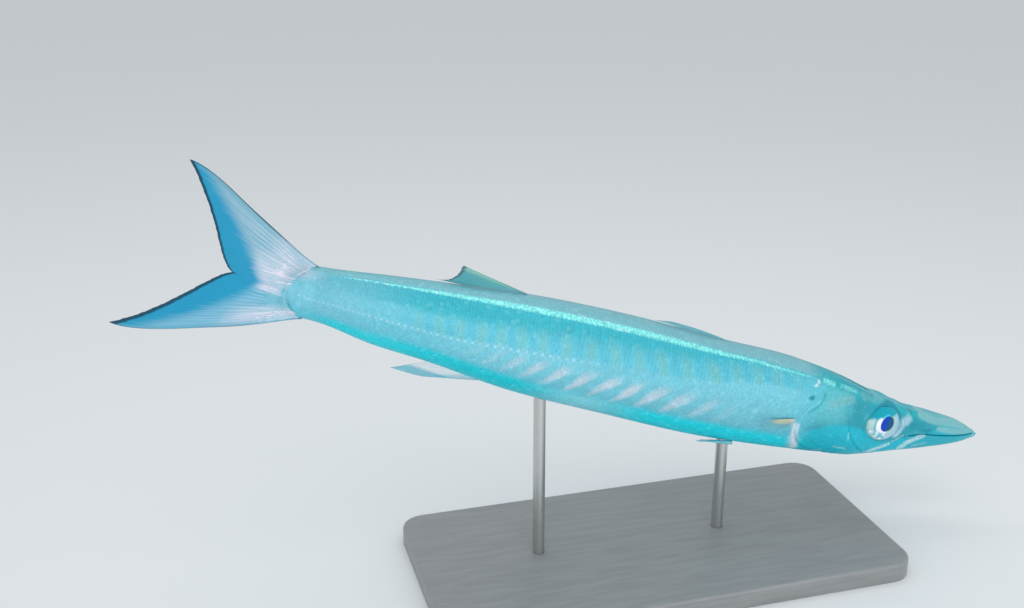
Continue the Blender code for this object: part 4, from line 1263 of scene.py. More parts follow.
def body_colour(paint, colours):
    """The markings of skin and scales. The flank has zones by level. Bars and slanted pale streaks
    follow a wave of the bar count, then come the tail stalk with a painted highlight at its end,
    the back, the bright line, which is a painted highlight of light off the scales, the zones of
    the head and its marks. The painted highlight line and the grain are given too, for the gloss
    and the bump."""
    station = paint.attribute("station")
    level = paint.attribute("level")
    bars = paint.attribute("bars")
    over = level - paint.attribute("lateral")
    cloud = paint.noise(paint.place(), 38.0)
    grain = paint.noise(paint.place(), 620.0, 2.0)
    wander = (cloud - 0.5) * 8.0

    # Painted light: the belly ahead of the middle is made brighter to offset the shade on the
    # underside there
    belly = station.smooth(0.60, 0.50).colour_mix(colours.belly, colours.belly_front_lit)
    belly = (station.bell(0.600, 0.10) * 0.9).colour_mix(belly, colours.belly_pale)
    colour = (level + wander).smooth(-40.0, -24.0).colour_mix(belly, colours.lower_flank)
    colour = (over + wander).smooth(16.0, 34.0).colour_mix(colour, colours.upper_flank)

    beat = (bars - (level - 15.0) * 0.0103 + (cloud - 0.5) * 0.40) * (2.0 * math.pi)
    beat = beat.math("COSINE")
    zone = (over + wander).smooth(-9.0, 5.0) * (over + wander).smooth(37.0, 12.0)
    zone = zone * station.smooth(0.92, 0.78) * station.smooth(0.28, 0.36) * (cloud * 0.6 + 0.55)
    colour = (beat.smooth(-0.5, 0.9) * zone * 0.85).colour_mix(colour, colours.bar)
    colour = (beat.smooth(0.3, -0.95) * zone * 0.65).colour_mix(colour, colours.blue_gap)

    haze = (over + wander).smooth(9.0, -8.0) * level.smooth(-38.0, -20.0)
    haze = haze * station.smooth(0.94, 0.72)
    haze = haze * station.smooth(0.27, 0.33)
    colour = (haze * 0.80).colour_mix(colour, colours.haze)
    slant = (bars - 0.13 + (level + 16.0) * 0.029 + (cloud - 0.5) * 0.45) * (2.0 * math.pi)
    streak = (slant.math("COSINE") - level.smooth(-7.0, -30.0) * 0.95).smooth(-0.90, 0.80)
    zone = (level + wander).smooth(-35.0, -25.0) * level.smooth(4.0, -12.0)
    strength = station.smooth(0.80, 0.62) * station.smooth(0.36, 0.52)
    zone = zone * strength * (cloud * 1.1 + 0.30)
    colour = (streak * zone).colour_mix(colour, colours.streak)

    under = level.smooth(-52.0, -30.0).math("MAXIMUM", station.smooth(0.925, 0.980))
    stalk = station.smooth(0.82, 0.95) * under
    colour = (stalk * 0.70).colour_mix(colour, colours.stalk)
    # Painted highlight at the upper end of the stalk, running on from the base of the upper lobe
    tail_base_highlight = station.smooth(0.950, 0.990) * level.smooth(22.0, 50.0)
    colour = (tail_base_highlight * (cloud * 0.6 + 0.4)).colour_mix(colour, colours.tail_base_highlight)

    # The bright line is a painted highlight: light reflected off the scales under the back strip,
    # broken into glinting dots by the comb and the grain
    comb = paint.noise(paint.vector(station * 430.0, level * 0.10), 1.0, 2.0)
    middle = HIGHLIGHT_LEVEL - station.smooth(0.385, 0.33) * 4.0
    width = station.smooth(0.98, 0.70) * 3.9 + 1.3
    width = width * (station.smooth(0.27, 0.55) * 0.60 + 0.40)
    back = (level - middle + (comb - 0.5) * 2.0).smooth(2.0, 5.0) * station.smooth(0.20, 0.30)
    colour = back.colour_mix(colour, colours.back)
    away = (level - middle + (comb - 0.5) * 8.0 + 0.5).math("ABSOLUTE") / width
    dots = (grain + (comb - 0.5) * 0.5).smooth(0.36, 0.58)
    line = away.smooth(1.30, 0.45) * station.smooth(0.968, 0.90) * station.smooth(0.26, 0.30)
    line = line * (station.smooth(0.28, 0.46) * 0.45 + 0.55) * (cloud * 0.4 + 0.80)
    line = line * (dots * 0.50 + 0.50)
    colour = line.colour_mix(colour, colours.highlight_line)

    head = (level + wander).smooth(28.0, 52.0).colour_mix(colours.cheek, colours.crown)
    cover = station.smooth(0.213, 0.245) * level.smooth(-16.0, 4.0) * level.smooth(56.0, 40.0)
    head = (cover * 0.8).colour_mix(head, colours.gill_cover)
    low = paint.attribute("low") * (0.95 - station.smooth(0.135, 0.090) * 0.50)
    head = low.colour_mix(head, colours.jaw)
    head_part = (station + wander * 0.0012).smooth(0.298, 0.262)
    colour = head_part.colour_mix(colour, head)

    # Head marks: the bright strokes are the painted highlight line on the head, and the dark
    # strokes hold painted shade as well as dark marks
    for label, tint in (
        ("tan", colours.snout), ("pink", colours.pink_mark), ("bright", colours.highlight_line),
        ("pale", colours.pale_mark), ("dark", colours.dark_mark_and_shade),
    ):
        mark = paint.attribute(label)
        if label in ("bright", "pale"):
            mark = mark * (dots * 0.45 + 0.50)
        colour = mark.colour_mix(colour, tint)
    shading = grain.smooth(0.30, 0.75) * 0.16 + 0.92
    return colour.dimmed(shading), line, grain


def skin_material(colours):
    """Wet silvery skin with fine pores."""
    material, shader, paint = new_material(
        "skin", {"Metallic": 0.10, "Coat Roughness": 0.12, "Specular IOR Level": 0.35},
    )
    colour, line, grain = body_colour(paint, colours)
    cloud = paint.noise(paint.place(), 90.0)
    roughness = 0.38 + (cloud - 0.5) * 0.16 - line * 0.10
    pores = paint.noise(paint.place(), 1400.0, 2.0)
    bump = (pores + grain * 0.5).bump(0.25, 0.2 * MM)
    shine = 0.10 + (cloud - 0.5) * 0.14
    connect(paint, shader, Base_Color=colour, Roughness=roughness, Coat_Weight=shine, Normal=bump)
    return material


def scale_material(colours):
    """Scales with the skin's markings, each a little unlike the next, with a pale rear edge
    and fine growth rings."""
    material, shader, paint = new_material(
        "scales", {"Metallic": 0.14, "Coat Roughness": 0.10, "Specular IOR Level": 0.35},
    )
    colour, line, grain = body_colour(paint, colours)
    shade = paint.attribute("shade")
    edge = paint.attribute("edge")
    rearward = paint.attribute("rearward")
    rim = edge.smooth(0.55, 1.0) * rearward.smooth(0.2, 0.8)
    colour = (rim * 0.20).colour_mix(colour, colours.scale_edge)
    # Painted glints: a few scales made pale, most of them along the painted highlight line
    painted_glint = shade.smooth(0.90, 1.0) * (line * 0.5 + 0.08)
    colour = painted_glint.colour_mix(colour, colours.pale_mark)
    pore = paint.attribute("pore") * (paint.attribute("station").smooth(0.56, 0.68) * 0.50 + 0.16)
    colour = pore.colour_mix(colour, colours.pore)
    colour = colour.dimmed(shade * 0.10 + 0.95)
    rings = (edge * 30.0).math("SINE") * 0.3 + grain
    bump = rings.bump(0.20, 0.1 * MM)
    roughness = 0.36 + shade * 0.14 - line * 0.10
    shine = 0.06 + shade * 0.10
    connect(paint, shader, Base_Color=colour, Roughness=roughness, Coat_Weight=shine, Normal=bump)
    return material


def eye_material(colours):
    """A glossy eye: a blue pupil with a painted cyan glint over it, a white crescent behind it, a
    dark line and a creamy ring outside that, mottled below, golden and lavender in front, with a
    teal cap above that is the painted shadow of the brow. The rings are bands of the distance from
    the pupil's middle."""
    material, shader, paint = new_material(
        "eye", {"Coat Weight": 0.30, "Coat Roughness": 0.03, "Specular IOR Level": 0.12},
    )
    along = paint.attribute("along")
    up = paint.attribute("up")
    across = (along - PUPIL_CENTRE[0] - (up - PUPIL_CENTRE[1]) * 0.14) / PUPIL_SIZE[0]
    rise = (up - PUPIL_CENTRE[1]) / PUPIL_SIZE[1]
    pupil = (across * across + rise * rise) ** 0.5
    radius = (along * along + up * up) ** 0.5
    fibres = paint.noise(
        paint.vector(across / (pupil + 0.05), rise / (pupil + 0.05), pupil * 0.4), 7.0,
    )
    spots = paint.noise(paint.vector(along, up), 3.6, 2.0)
    behind = (across * -0.85 - rise * 0.50).smooth(-0.20, 0.45)
    front = across.smooth(0.20, 0.75)

    colour = (fibres * 0.7).colour_mix(colours.iris, colours.eye_cream)
    colour = (pupil.bell(1.76, 0.24) * behind * 0.9).colour_mix(colour, colours.eye_line)
    bright = (pupil + (spots - 0.5) * 0.16).smooth(1.66, 1.46) * behind
    colour = bright.colour_mix(colour, colours.eye_bright)
    under = (rise * -1.0 + (spots - 0.5) * 1.2).smooth(0.95, 1.25)
    mottle = spots.smooth(0.34, 0.64).colour_mix(colours.upper_flank, colours.eye_bright)
    colour = (under * 0.85).colour_mix(colour, mottle)
    colour = (pupil.smooth(1.35, 1.70) * front * 0.8).colour_mix(colour, colours.eye_front)
    gold = radius.bell(0.96, 0.09) * along.smooth(0.30, -0.40)
    colour = (gold * 0.8).colour_mix(colour, colours.gold)
    colour = (pupil.bell(1.28, 0.20) * front * 0.8).colour_mix(colour, colours.gold)
    colour = (pupil.bell(1.07, 0.10) * front * 0.9).colour_mix(colour, colours.eye_shade)
    # Painted shadow of the brow over the top of the eye
    brow_shadow = (up - along * 0.30 + (spots - 0.5) * 0.30).smooth(0.36, 0.58)
    colour = brow_shadow.colour_mix(colour, colours.eye_brow_shadow)
    # Painted highlight over the upper part of the pupil
    glint = pupil.bell(1.14, 0.16) * rise.smooth(0.35, 0.75) * across.smooth(0.25, -0.25)
    colour = glint.colour_mix(colour, colours.eye_glint)
    inside = across.smooth(-0.55, 0.45).colour_mix(colours.pupil, colours.pupil_front)
    colour = pupil.smooth(1.03, 0.96).colour_mix(colour, inside)
    rim = radius.smooth(0.90, 1.0) * across.smooth(1.6, 0.2)
    colour = (rim * 0.35).colour_mix(colour, colours.cheek)
    roughness = pupil.smooth(0.9, 1.1) * 0.26 + 0.06
    bump = fibres.bump(0.3, 0.2 * MM)
    connect(paint, shader, Base_Color=colour, Roughness=roughness, Normal=bump)
    return material


def ray_pattern(paint, rays):
    """How much a point of a fin lies on a ray: squared cosines across the fin, twice as
    many past each of two forks. Also its places across and along."""
    across = paint.attribute("across")
    along = paint.attribute("along")
    turn = across * (2.0 * math.pi * rays)
    single = (turn.math("COSINE") * 0.5 + 0.5) ** 2.0
    double = ((turn * 2.0).math("COSINE") * -0.5 + 0.5) ** 2.0
    fine = ((turn * 4.0).math("COSINE") * -0.5 + 0.5) ** 2.0
    first_fork = along.smooth(0.40, 0.58)
    second_fork = along.smooth(0.66, 0.84)
    ray = single * (1.0 - first_fork) + double * first_fork * (1.0 - second_fork)
    return ray + fine * second_fork, across, along


def ray_bump(ray, along, joints):
    """Raised rays with fine joints across them."""
    joint = (along * joints).math("FRACT").bell(0.5, 0.18)
    return (ray - joint * ray * 0.6).bump(0.35, 0.2 * MM)


def base_highlights(across, along, zones):
    """How strongly the painted highlights show on the scaly base of a lobe: a sum of bells across
    it, each of them with a start and a reach along it."""
    total = 0.0
    for middle, width, start, reach, strength in zones:
        span = along.smooth(start, start + 0.08) * along.smooth(reach + 0.12, reach - 0.14)
        total = across.bell(middle, width) * span * strength + total
    return total.math("MINIMUM", 1.0)


def tail_material(settings, colours, ray_colour, lobe):
    """The tail fin: a pale base of painted highlights and glints, rays that fade from the leading
    edge into a blue web, and a dark margin that is widest on the trailing edge."""
    material, shader, paint = new_material(
        lobe["material"], {"Coat Roughness": 0.15, "Specular IOR Level": 0.35},
    )
    ray, across, along = ray_pattern(paint, settings.tail_rays)
    cloud = paint.noise(paint.place(), 45.0)
    streaky = paint.noise(paint.vector(across * 26.0, along * 1.6), 1.0, 3.0)
    inner = (1.0 - across) ** 1.3 * 0.46 + 0.44
    blue = (along - inner + (streaky - 0.5) * 0.30).smooth(-0.14, 0.12)
    lead = (ray * 0.40 + (streaky - 0.4) * 1.6 + 0.30).smooth(0.0, 1.0)
    lead = lead * (across.smooth(0.0, 0.14) * 0.5 + 0.5)
    lead = lead.colour_mix(colours.fin_between, ray_colour)
    flank = along.smooth(0.16, -0.02) * across.smooth(0.30, 0.60)
    lead = flank.colour_mix(lead, colours.stalk)
    web = (ray * 0.10).colour_mix(colours.fin_web, ray_colour)
    colour = blue.colour_mix(lead, web)
    # Painted highlights on the scaly base, with painted glints in them
    base = base_highlights(across, along + (streaky - 0.5) * 0.34, lobe["pale"])
    colour = (base * 0.9).colour_mix(colour, colours.tail_base_highlight)
    painted_glint = (streaky + (cloud - 0.5) * 0.5).smooth(0.42, 0.64) * base
    colour = (painted_glint * 0.8).colour_mix(colour, colours.tail_glint)
    edge = across.smooth(0.016, 0.004) * along.smooth(0.1, 0.4)
    edge = along.smooth(lobe["edge"] - 0.015, lobe["edge"] + 0.010).math("MAXIMUM", edge)
    colour = (edge * 0.95).colour_mix(colour, colours.fin_margin)
    roughness = 0.46 - ray * 0.10 + (cloud - 0.5) * 0.12
    bump = ray_bump(ray, along, settings.ray_joints)
    connect(paint, shader, Base_Color=colour, Roughness=roughness, Normal=bump)
    return material


def fin_material(name, settings, rays, tints, solid, margin=None, lead_share=1.0):
    """A small fin: jointed rays with the first ones in a colour of their own, over a web
    that is as solid at its root and at its margin as the two shares say. A greater lead
    share puts more rays in that colour, and shortens it and the coloured root."""
    material, shader, paint = new_material(
        name, {"Coat Roughness": 0.15, "Specular IOR Level": 0.35},
    )
    ray_colour, lead_colour, root_colour, web_colour = tints
    ray, across, along = ray_pattern(paint, rays)
    cloud = paint.noise(paint.place(), 60.0)
    lead = across.smooth(1.6 * lead_share / rays, 0.5 * lead_share / rays)
    reach = 0.35 + 0.65 / lead_share
    lead = lead * along.smooth(reach + 0.35, reach)
    share = ray * (0.95 - along * 0.40) + (cloud - 0.5) * 0.25
    colour = share.smooth(0.0, 0.9).colour_mix(web_colour, ray_colour)
    colour = (lead * 0.9).colour_mix(colour, lead_colour)
    root = (along + (cloud - 0.5) * 0.1).smooth(0.10 + 0.22 / lead_share, 0.04)
    colour = (root * 0.8).colour_mix(colour, root_colour)
    if margin is not None:
        edge = along.smooth(0.93, 0.97) * 0.7
        colour = edge.colour_mix(colour, margin)
    roughness = 0.44 - ray * 0.10 + (cloud - 0.5) * 0.12
    bump = ray_bump(ray, along, settings.ray_joints)
    connect(paint, shader, Base_Color=colour, Roughness=roughness, Normal=bump)
    at_root, at_margin = solid
    if min(solid) < 1.0:
        alpha = along.smooth(0.36, 0.66) * (at_margin - at_root) + at_root
        rays_alpha = (share.smooth(0.1, 0.9) * 0.8 + lead) * (alpha * 0.75 + 0.25)
        alpha = alpha.math("MAXIMUM", rays_alpha)
        connect(paint, shader, Alpha=alpha.math("MINIMUM", 1.0))
    return material


def scale_base_material(colours, lobe):
    """Scales on the base of the tail fin: the stalk's colour near the middle, with the same
    painted highlights and glints as the fin under them."""
    material, shader, paint = new_material(
        lobe["material"] + "_scales",
        {"Metallic": 0.12, "Coat Roughness": 0.10, "Specular IOR Level": 0.35},
    )
    shade = paint.attribute("shade")
    across = paint.attribute("across")
    along = paint.attribute("along")
    cloud = paint.noise(paint.place(), 55.0)
    streaky = paint.noise(paint.vector(across * 26.0, along * 1.6), 1.0, 3.0)
    # Painted highlights and glints, in the same places as on the fin
    pale = base_highlights(across, along + (streaky - 0.5) * 0.34, lobe["pale"])
    flank = (shade * 0.5).colour_mix(colours.stalk, colours.haze)
    flank = (along.smooth(0.12, 0.34) * 0.7).colour_mix(flank, colours.fin_between)
    colour = (pale * 0.9).colour_mix(flank, colours.tail_base_highlight)
    painted_glint = (streaky + (cloud - 0.5) * 0.5).smooth(0.42, 0.64) * pale
    colour = (painted_glint * 0.8).colour_mix(colour, colours.tail_glint)
    roughness = 0.36 + shade * 0.14
    shine = 0.06 + shade * 0.10
    connect(paint, shader, Base_Color=colour, Roughness=roughness, Coat_Weight=shine)
    return material


def base_material():
    """Satin paint brushed along the wood, with fine pale speckles."""
    material, shader, paint = new_material(
        "stand_base_paint", {"Coat Weight": 0.15, "Coat Roughness": 0.3},
    )
    grain = paint.noise(paint.place((1.0, 8.0, 8.0)), 26.0, 5.0)
    speckle = paint.noise(paint.place(), 700.0, 2.0)
    colour = grain.smooth(0.3, 0.7).colour_mix((0.235, 0.245, 0.25), (0.275, 0.285, 0.29))
    colour = (speckle.smooth(0.62, 0.75) * 0.2).colour_mix(colour, (0.36, 0.37, 0.37))
    roughness = 0.42 + (grain - 0.5) * 0.2
    bump = (speckle + grain).bump(0.12, 0.3 * MM)
    connect(paint, shader, Base_Color=colour, Roughness=roughness, Normal=bump)
    return material


def rod_material():
    """Brushed steel: noise stretched round the rod."""
    material, shader, paint = new_material("stand_rod_steel", {"Metallic": 1.0})
    brushed = paint.noise(paint.place((1.0, 1.0, 40.0)), 160.0, 3.0)
    colour = brushed.colour_mix((0.50, 0.50, 0.49), (0.68, 0.68, 0.67))
    roughness = 0.24 + brushed * 0.16
    connect(paint, shader, Base_Color=colour, Roughness=roughness)
    return material


def floor_material(colour):
    """A plain pale floor with a breath of mottle."""
    material, shader, paint = new_material("floor", {"Roughness": 0.65})
    cloud = paint.noise(paint.place(), 3.0)
    shade = (cloud * 0.25).colour_mix(colour, [part * 0.96 for part in colour])
    connect(paint, shader, Base_Color=shade)
    return material


def colour_property(name, description, default):
    """A colour that a user can change."""
    return bpy.props.FloatVectorProperty(
        name=name, description=description, default=default, subtype="COLOR", size=3,
        min=0.0, max=1.0,
    )


class BarracudaColours(bpy.types.PropertyGroup):
    """Colours of the fish."""

    back: colour_property("Back", "Strip along the back", (0.19, 0.50, 0.57))
    # Painted highlight: light reflected off the scales along the upper flank
    highlight_line: colour_property("Bright line", "Line under the back strip", (0.30, 0.92, 0.88))
    upper_flank: colour_property("Upper flank", "Band under the bright line", (0.035, 0.49, 0.59))
    bar: colour_property("Bars", "Olive bars of the flank", (0.15, 0.50, 0.51))
    blue_gap: colour_property("Bar gaps", "Blue between the bars", (0.06, 0.46, 0.61))
    lower_flank: colour_property("Lower flank", "Under the lateral line", (0.11, 0.56, 0.69))
    haze: colour_property("Haze", "Pale haze of the lower flank", (0.20, 0.60, 0.72))
    streak: colour_property("Streaks", "Slanted pale streaks", (0.60, 0.70, 0.79))
    belly: colour_property("Belly", "Underside", (0.001, 0.67, 0.78))
    # Painted light: a brighter copy of the underside, offsetting its shade ahead of the middle
    belly_front_lit: colour_property("Front belly", "Underside behind the head", (0.001, 0.82, 0.95))
    belly_pale: colour_property("Pale belly", "Middle of the underside", (0.28, 0.78, 0.90))
    stalk: colour_property("Tail stalk", "Flank of the tail stalk", (0.19, 0.53, 0.66))
    # Painted highlights on the scaly base of the tail fin, and painted glints in them
    tail_base_highlight: colour_property("Tail base", "Scaly base of the tail fin", (0.54, 0.65, 0.76))
    tail_glint: colour_property("Tail sparkle", "Streaks at the tail base", (0.92, 0.82, 0.92))
    cheek: colour_property("Cheek", "Side of the head", (0.015, 0.345, 0.43))
    jaw: colour_property("Lower jaw", "Jaw, throat and lower cheek", (0.001, 0.52, 0.66))
    crown: colour_property("Crown", "Top of the head", (0.010, 0.42, 0.49))
    snout: colour_property("Snout", "Patch on the snout", (0.20, 0.50, 0.53))
    gill_cover: colour_property("Gill cover", "Middle of the gill cover", (0.13, 0.58, 0.65))
    pale_mark: colour_property("Pale marks", "Marks of the head", (0.72, 0.86, 0.90))
    pink_mark: colour_property("Pink marks", "Rear edge of the gill cover", (0.64, 0.80, 0.90))
    # Dark marks of the head, and painted shade in its creases, along the mouth line and under the
    # brow
    dark_mark_and_shade: colour_property("Dark marks", "Marks and creases of the head", (0.001, 0.27, 0.36))
    pore: colour_property("Pores", "Dots of the lateral line", (0.50, 0.78, 0.92))
    scale_edge: colour_property("Scale edges", "Rear edges of the scales", (0.35, 0.70, 0.76))
    iris: colour_property("Iris", "Ring of the eye", (0.33, 0.58, 0.61))
    eye_cream: colour_property("Eye cream", "Light parts of the ring", (0.58, 0.76, 0.76))
    eye_line: colour_property("Eye line", "Line between the rings", (0.14, 0.40, 0.50))
    eye_bright: colour_property("Bright crescent", "Crescent of the eye", (0.90, 0.94, 1.00))
    eye_front: colour_property("Eye front", "Lavender in front of the pupil", (0.34, 0.58, 0.72))
    eye_shade: colour_property("Eye shade", "In front of the pupil", (0.05, 0.28, 0.28))
    # Painted shadow of the brow over the top of the eye
    eye_brow_shadow: colour_property("Eye cap", "Top of the eye", (0.001, 0.36, 0.46))
    # Painted highlight on the pupil
    eye_glint: colour_property("Eye glint", "Cyan over the pupil", (0.06, 0.62, 0.92))
    gold: colour_property("Golden rim", "Rim of the iris", (0.40, 0.62, 0.48))
    pupil: colour_property("Pupil", "Rear of the pupil", (0.001, 0.050, 0.52))
    pupil_front: colour_property("Pupil front", "Front of the pupil", (0.001, 0.085, 0.22))
    fin_ray: colour_property("Upper tail rays", "Rays of the upper lobe", (0.38, 0.56, 0.67))
    fin_ray_low: colour_property("Lower tail rays", "Rays of the lower lobe", (0.26, 0.57, 0.77))
    fin_between: colour_property("Between tail rays", "Web near the front", (0.09, 0.38, 0.52))
    fin_web: colour_property("Tail web", "Blue web of the tail fin", (0.001, 0.32, 0.55))
    fin_margin: colour_property("Fin margin", "Dark edge of the fins", (0.003, 0.06, 0.11))
    dorsal_ray: colour_property("Dorsal rays", "Rays of the dorsal fins", (0.27, 0.54, 0.48))
    dorsal_lead: colour_property("Dorsal edge", "Front edge of the dorsal fin", (0.27, 0.56, 0.48))
    dorsal_web: colour_property("Dorsal web", "Web of the dorsal fins", (0.02, 0.38, 0.46))
    anal_ray: colour_property("Anal rays", "Rays of the anal fin", (0.16, 0.60, 0.72))
    anal_lead: colour_property("Anal edge", "Front edge of the anal fin", (0.16, 0.60, 0.74))
    pale_ray: colour_property("Paired fin rays", "Rays of the paired fins", (0.52, 0.68, 0.66))
    gold_ray: colour_property("Golden ray", "First ray of the paired fins", (0.82, 0.78, 0.55))
    clear_web: colour_property("Clear web", "Web of the small fins", (0.14, 0.54, 0.66))


class BarracudaShape(bpy.types.PropertyGroup):
    """Sizes of skin, scales and fins."""

    ring_step_head: bpy.props.FloatProperty(
        name="Head ring step", description="Distance between the skin's rings on the head",
        default=0.75 * MM, min=0.4 * MM, max=5.0 * MM, unit="LENGTH", precision=5,
    )
    ring_step_body: bpy.props.FloatProperty(
        name="Body ring step", description="Distance between the skin's rings on the body",
        default=2.0 * MM, min=1.0 * MM, max=10.0 * MM, unit="LENGTH", precision=5,
    )
    ring_points: bpy.props.IntProperty(
        name="Ring points", description="Points round each ring of the skin",
        default=192, min=48, max=256,
    )
    scale_start: bpy.props.FloatProperty(
        name="First scales", description="Station where the scales begin",
        default=0.172, min=0.1, max=0.4,
    )
    scale_length: bpy.props.FloatProperty(
        name="Scale step", description="Distance between scale columns at the greatest girth",
        default=3.5 * MM, min=2.0 * MM, max=12.0 * MM, unit="LENGTH", precision=5,
    )
    scale_rows: bpy.props.IntProperty(
        name="Scale rows", description="Rows of scales round the body", default=66, min=20, max=90,
    )
    scale_lift: bpy.props.FloatProperty(
        name="Scale lift", description="How far a scale's rear edge stands over its root",
        default=0.34 * MM, min=0.05 * MM, max=1.0 * MM, unit="LENGTH", precision=5,
    )
    seed: bpy.props.IntProperty(
        name="Seed", description="Draw of the scales' variation", default=41,
    )
    tail_rays: bpy.props.IntProperty(
        name="Tail rays", description="Rays in each lobe of the tail fin",
        default=15, min=5, max=24,
    )
    median_rays: bpy.props.IntProperty(
        name="Median rays", description="Rays in the second dorsal and anal fins",
        default=10, min=4, max=16,
    )
    paired_rays: bpy.props.IntProperty(
        name="Paired rays", description="Rays in the pectoral and pelvic fins",
        default=13, min=4, max=18,
    )
    ray_joints: bpy.props.IntProperty(
        name="Ray joints", description="Joints along each ray", default=34, min=4, max=80,
    )


class BarracudaStage(bpy.types.PropertyGroup):
    """Floor, light and camera."""

    floor_size: bpy.props.FloatProperty(
        name="Floor size", description="Side of the square floor",
        default=24.0, min=4.0, unit="LENGTH",
    )
    floor_colour: colour_property("Floor", "Colour of the floor", (0.80, 0.82, 0.83))
    world_strength: bpy.props.FloatProperty(
        name="Ambient light", description="Strength of the pale surroundings",
        default=0.70, min=0.0,
    )
    key_power: bpy.props.FloatProperty(
        name="Key light", description="Power of the large light above",
        default=9.0, min=0.0, unit="POWER",
    )
    fill_power: bpy.props.FloatProperty(
        name="Fill light", description="Power of the light under the camera",
        default=1.6, min=0.0, unit="POWER",
    )


class BARRACUDA_OT_skin(bpy.types.Operator):
    """Make the skin that replaces the solids of flesh"""

    bl_idname = "barracuda.skin"
    bl_label = "Skin"

    def execute(self, context):
        scene = context.scene
        build_skin(scene.barracuda_shape, skin_material(scene.barracuda_colours))
        return {"FINISHED"}


class BARRACUDA_OT_scales(bpy.types.Operator):
    """Lay the scales over the skin, in bands on both sides"""

    bl_idname = "barracuda.scales"
    bl_label = "Scales"

    def execute(self, context):
        shape = context.scene.barracuda_shape
        material = scale_material(context.scene.barracuda_colours)
        bands = (
            ("scales_face_", shape.scale_start, 0.300, 1.6),
            ("scales_front_", 0.300, 0.56, 1.0),
            ("scales_rear_", 0.5575, 0.988, 1.0),
        )
        for side, word in ((1, "left"), (-1, "right")):
            for name, first, last, finer in bands:
                build_scales(shape, material, side, name + word, first, last, finer)
        return {"FINISHED"}


class BARRACUDA_OT_eyes(bpy.types.Operator):
    """Make both eyes"""

    bl_idname = "barracuda.eyes"
    bl_label = "Eyes"

    def execute(self, context):
        material = eye_material(context.scene.barracuda_colours)
        build_eye(1, material)
        build_eye(-1, material)
        return {"FINISHED"}


class BARRACUDA_OT_tail_fin(bpy.types.Operator):
    """Make both lobes of the tail fin and the scales on their base"""

    bl_idname = "barracuda.tail_fin"
    bl_label = "Tail fin"

    def execute(self, context):
        shape = context.scene.barracuda_shape
        colours = context.scene.barracuda_colours
        for name, node, lobe, ray_colour in (
            ("tail_upper_lobe", "tail_fin_upper_lobe", UPPER_LOBE, colours.fin_ray),
            ("tail_lower_lobe", "tail_fin_lower_lobe", LOWER_LOBE, colours.fin_ray_low),
        ):
            material = tail_material(shape, colours, ray_colour, lobe)
            build_lobe(shape, name, node, lobe, material)
            build_lobe_scales(shape, name + "_scales", lobe, scale_base_material(colours, lobe))
        return {"FINISHED"}


class BARRACUDA_OT_median_fins(bpy.types.Operator):
    """Make the dorsal fins and the anal fin"""

    bl_idname = "barracuda.median_fins"
    bl_label = "Median fins"

    def execute(self, context):
        shape = context.scene.barracuda_shape
        colours = context.scene.barracuda_colours
        tints = (colours.dorsal_ray, colours.dorsal_lead, colours.back, colours.dorsal_web)
        dorsal = fin_material(
            "dorsal_fin", shape, shape.median_rays, tints, (0.95, 0.80), colours.fin_margin,
        )
        tints = (colours.anal_ray, colours.anal_lead, colours.belly, colours.clear_web)
        anal = fin_material(
            "anal_fin", shape, shape.median_rays, tints, (0.05, 0.60), lead_share=2.5,
        )
        build_median_fin(shape, "second_dorsal", DORSAL_ROOT, DORSAL_MARGIN, 1, dorsal)
        build_median_fin(shape, "anal", ANAL_ROOT, ANAL_MARGIN, -1, anal)
        tints = (colours.back, colours.back, colours.back, colours.back)
        spines = fin_material("spines", shape, SPINE_COUNT - 1, tints, (1.0, 1.0))
        build_first_dorsal(spines)
        return {"FINISHED"}


class BARRACUDA_OT_paired_fins(bpy.types.Operator):
    """Make the pectoral and pelvic fins"""

    bl_idname = "barracuda.paired_fins"
    bl_label = "Paired fins"

    def execute(self, context):
        shape = context.scene.barracuda_shape
        colours = context.scene.barracuda_colours
        tints = (colours.pale_ray, colours.gold_ray, colours.pale_mark, colours.clear_web)
        pectoral = fin_material(
            "pectoral_fins", shape, shape.paired_rays, tints, (0.45, 0.20), lead_share=6.0,
        )
        tints = (colours.pale_ray, colours.anal_lead, colours.belly_pale, colours.clear_web)
        pelvic = fin_material("pelvic_fins", shape, shape.paired_rays, tints, (0.60, 0.35))
        for side in (1, -1):
            build_paired_fin(shape, "pectoral", PECTORAL, side, pectoral)
            build_paired_fin(shape, "pelvic", PELVIC, side, pelvic)
        return {"FINISHED"}


class BARRACUDA_OT_stand(bpy.types.Operator):
    """Finish the base and the rods of the display stand"""

    bl_idname = "barracuda.stand"
    bl_label = "Stand"

    def execute(self, context):
        steel = rod_material()
        for name, material in (
            ("stand_base", base_material()), ("stand_rod_front", steel), ("stand_rod_rear", steel),
        ):
            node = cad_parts[name]
            node.data.materials.clear()
            node.data.materials.append(material)
        return {"FINISHED"}


class BARRACUDA_OT_stage(bpy.types.Operator):
    """Make the floor, the light and the camera"""

    bl_idname = "barracuda.stage"
    bl_label = "Stage"

    def execute(self, context):
        stage = context.scene.barracuda_stage
        build_floor(stage)
        build_lights(stage)
        build_camera()
        return {"FINISHED"}


def build_floor(stage):
    """A flat square grid of points at the height of the base's underside."""
    line = np.linspace(-0.5, 0.5, 9) * stage.floor_size
    x, y = np.meshgrid(line, line, indexing="ij")
    points = np.stack([x, y, np.full_like(x, BASE_LOW.z)], -1).reshape(-1, 3)
    quads = grid_quads(9, 9)[:, ::-1]
    mesh = bpy.data.meshes.new("floor")
    mesh.from_pydata(points.tolist(), [], quads.tolist())
    mesh.materials.append(floor_material(stage.floor_colour))
    floor = bpy.data.objects.new("floor", mesh)
    bpy.context.scene.collection.objects.link(floor)
    turn_up(mesh)


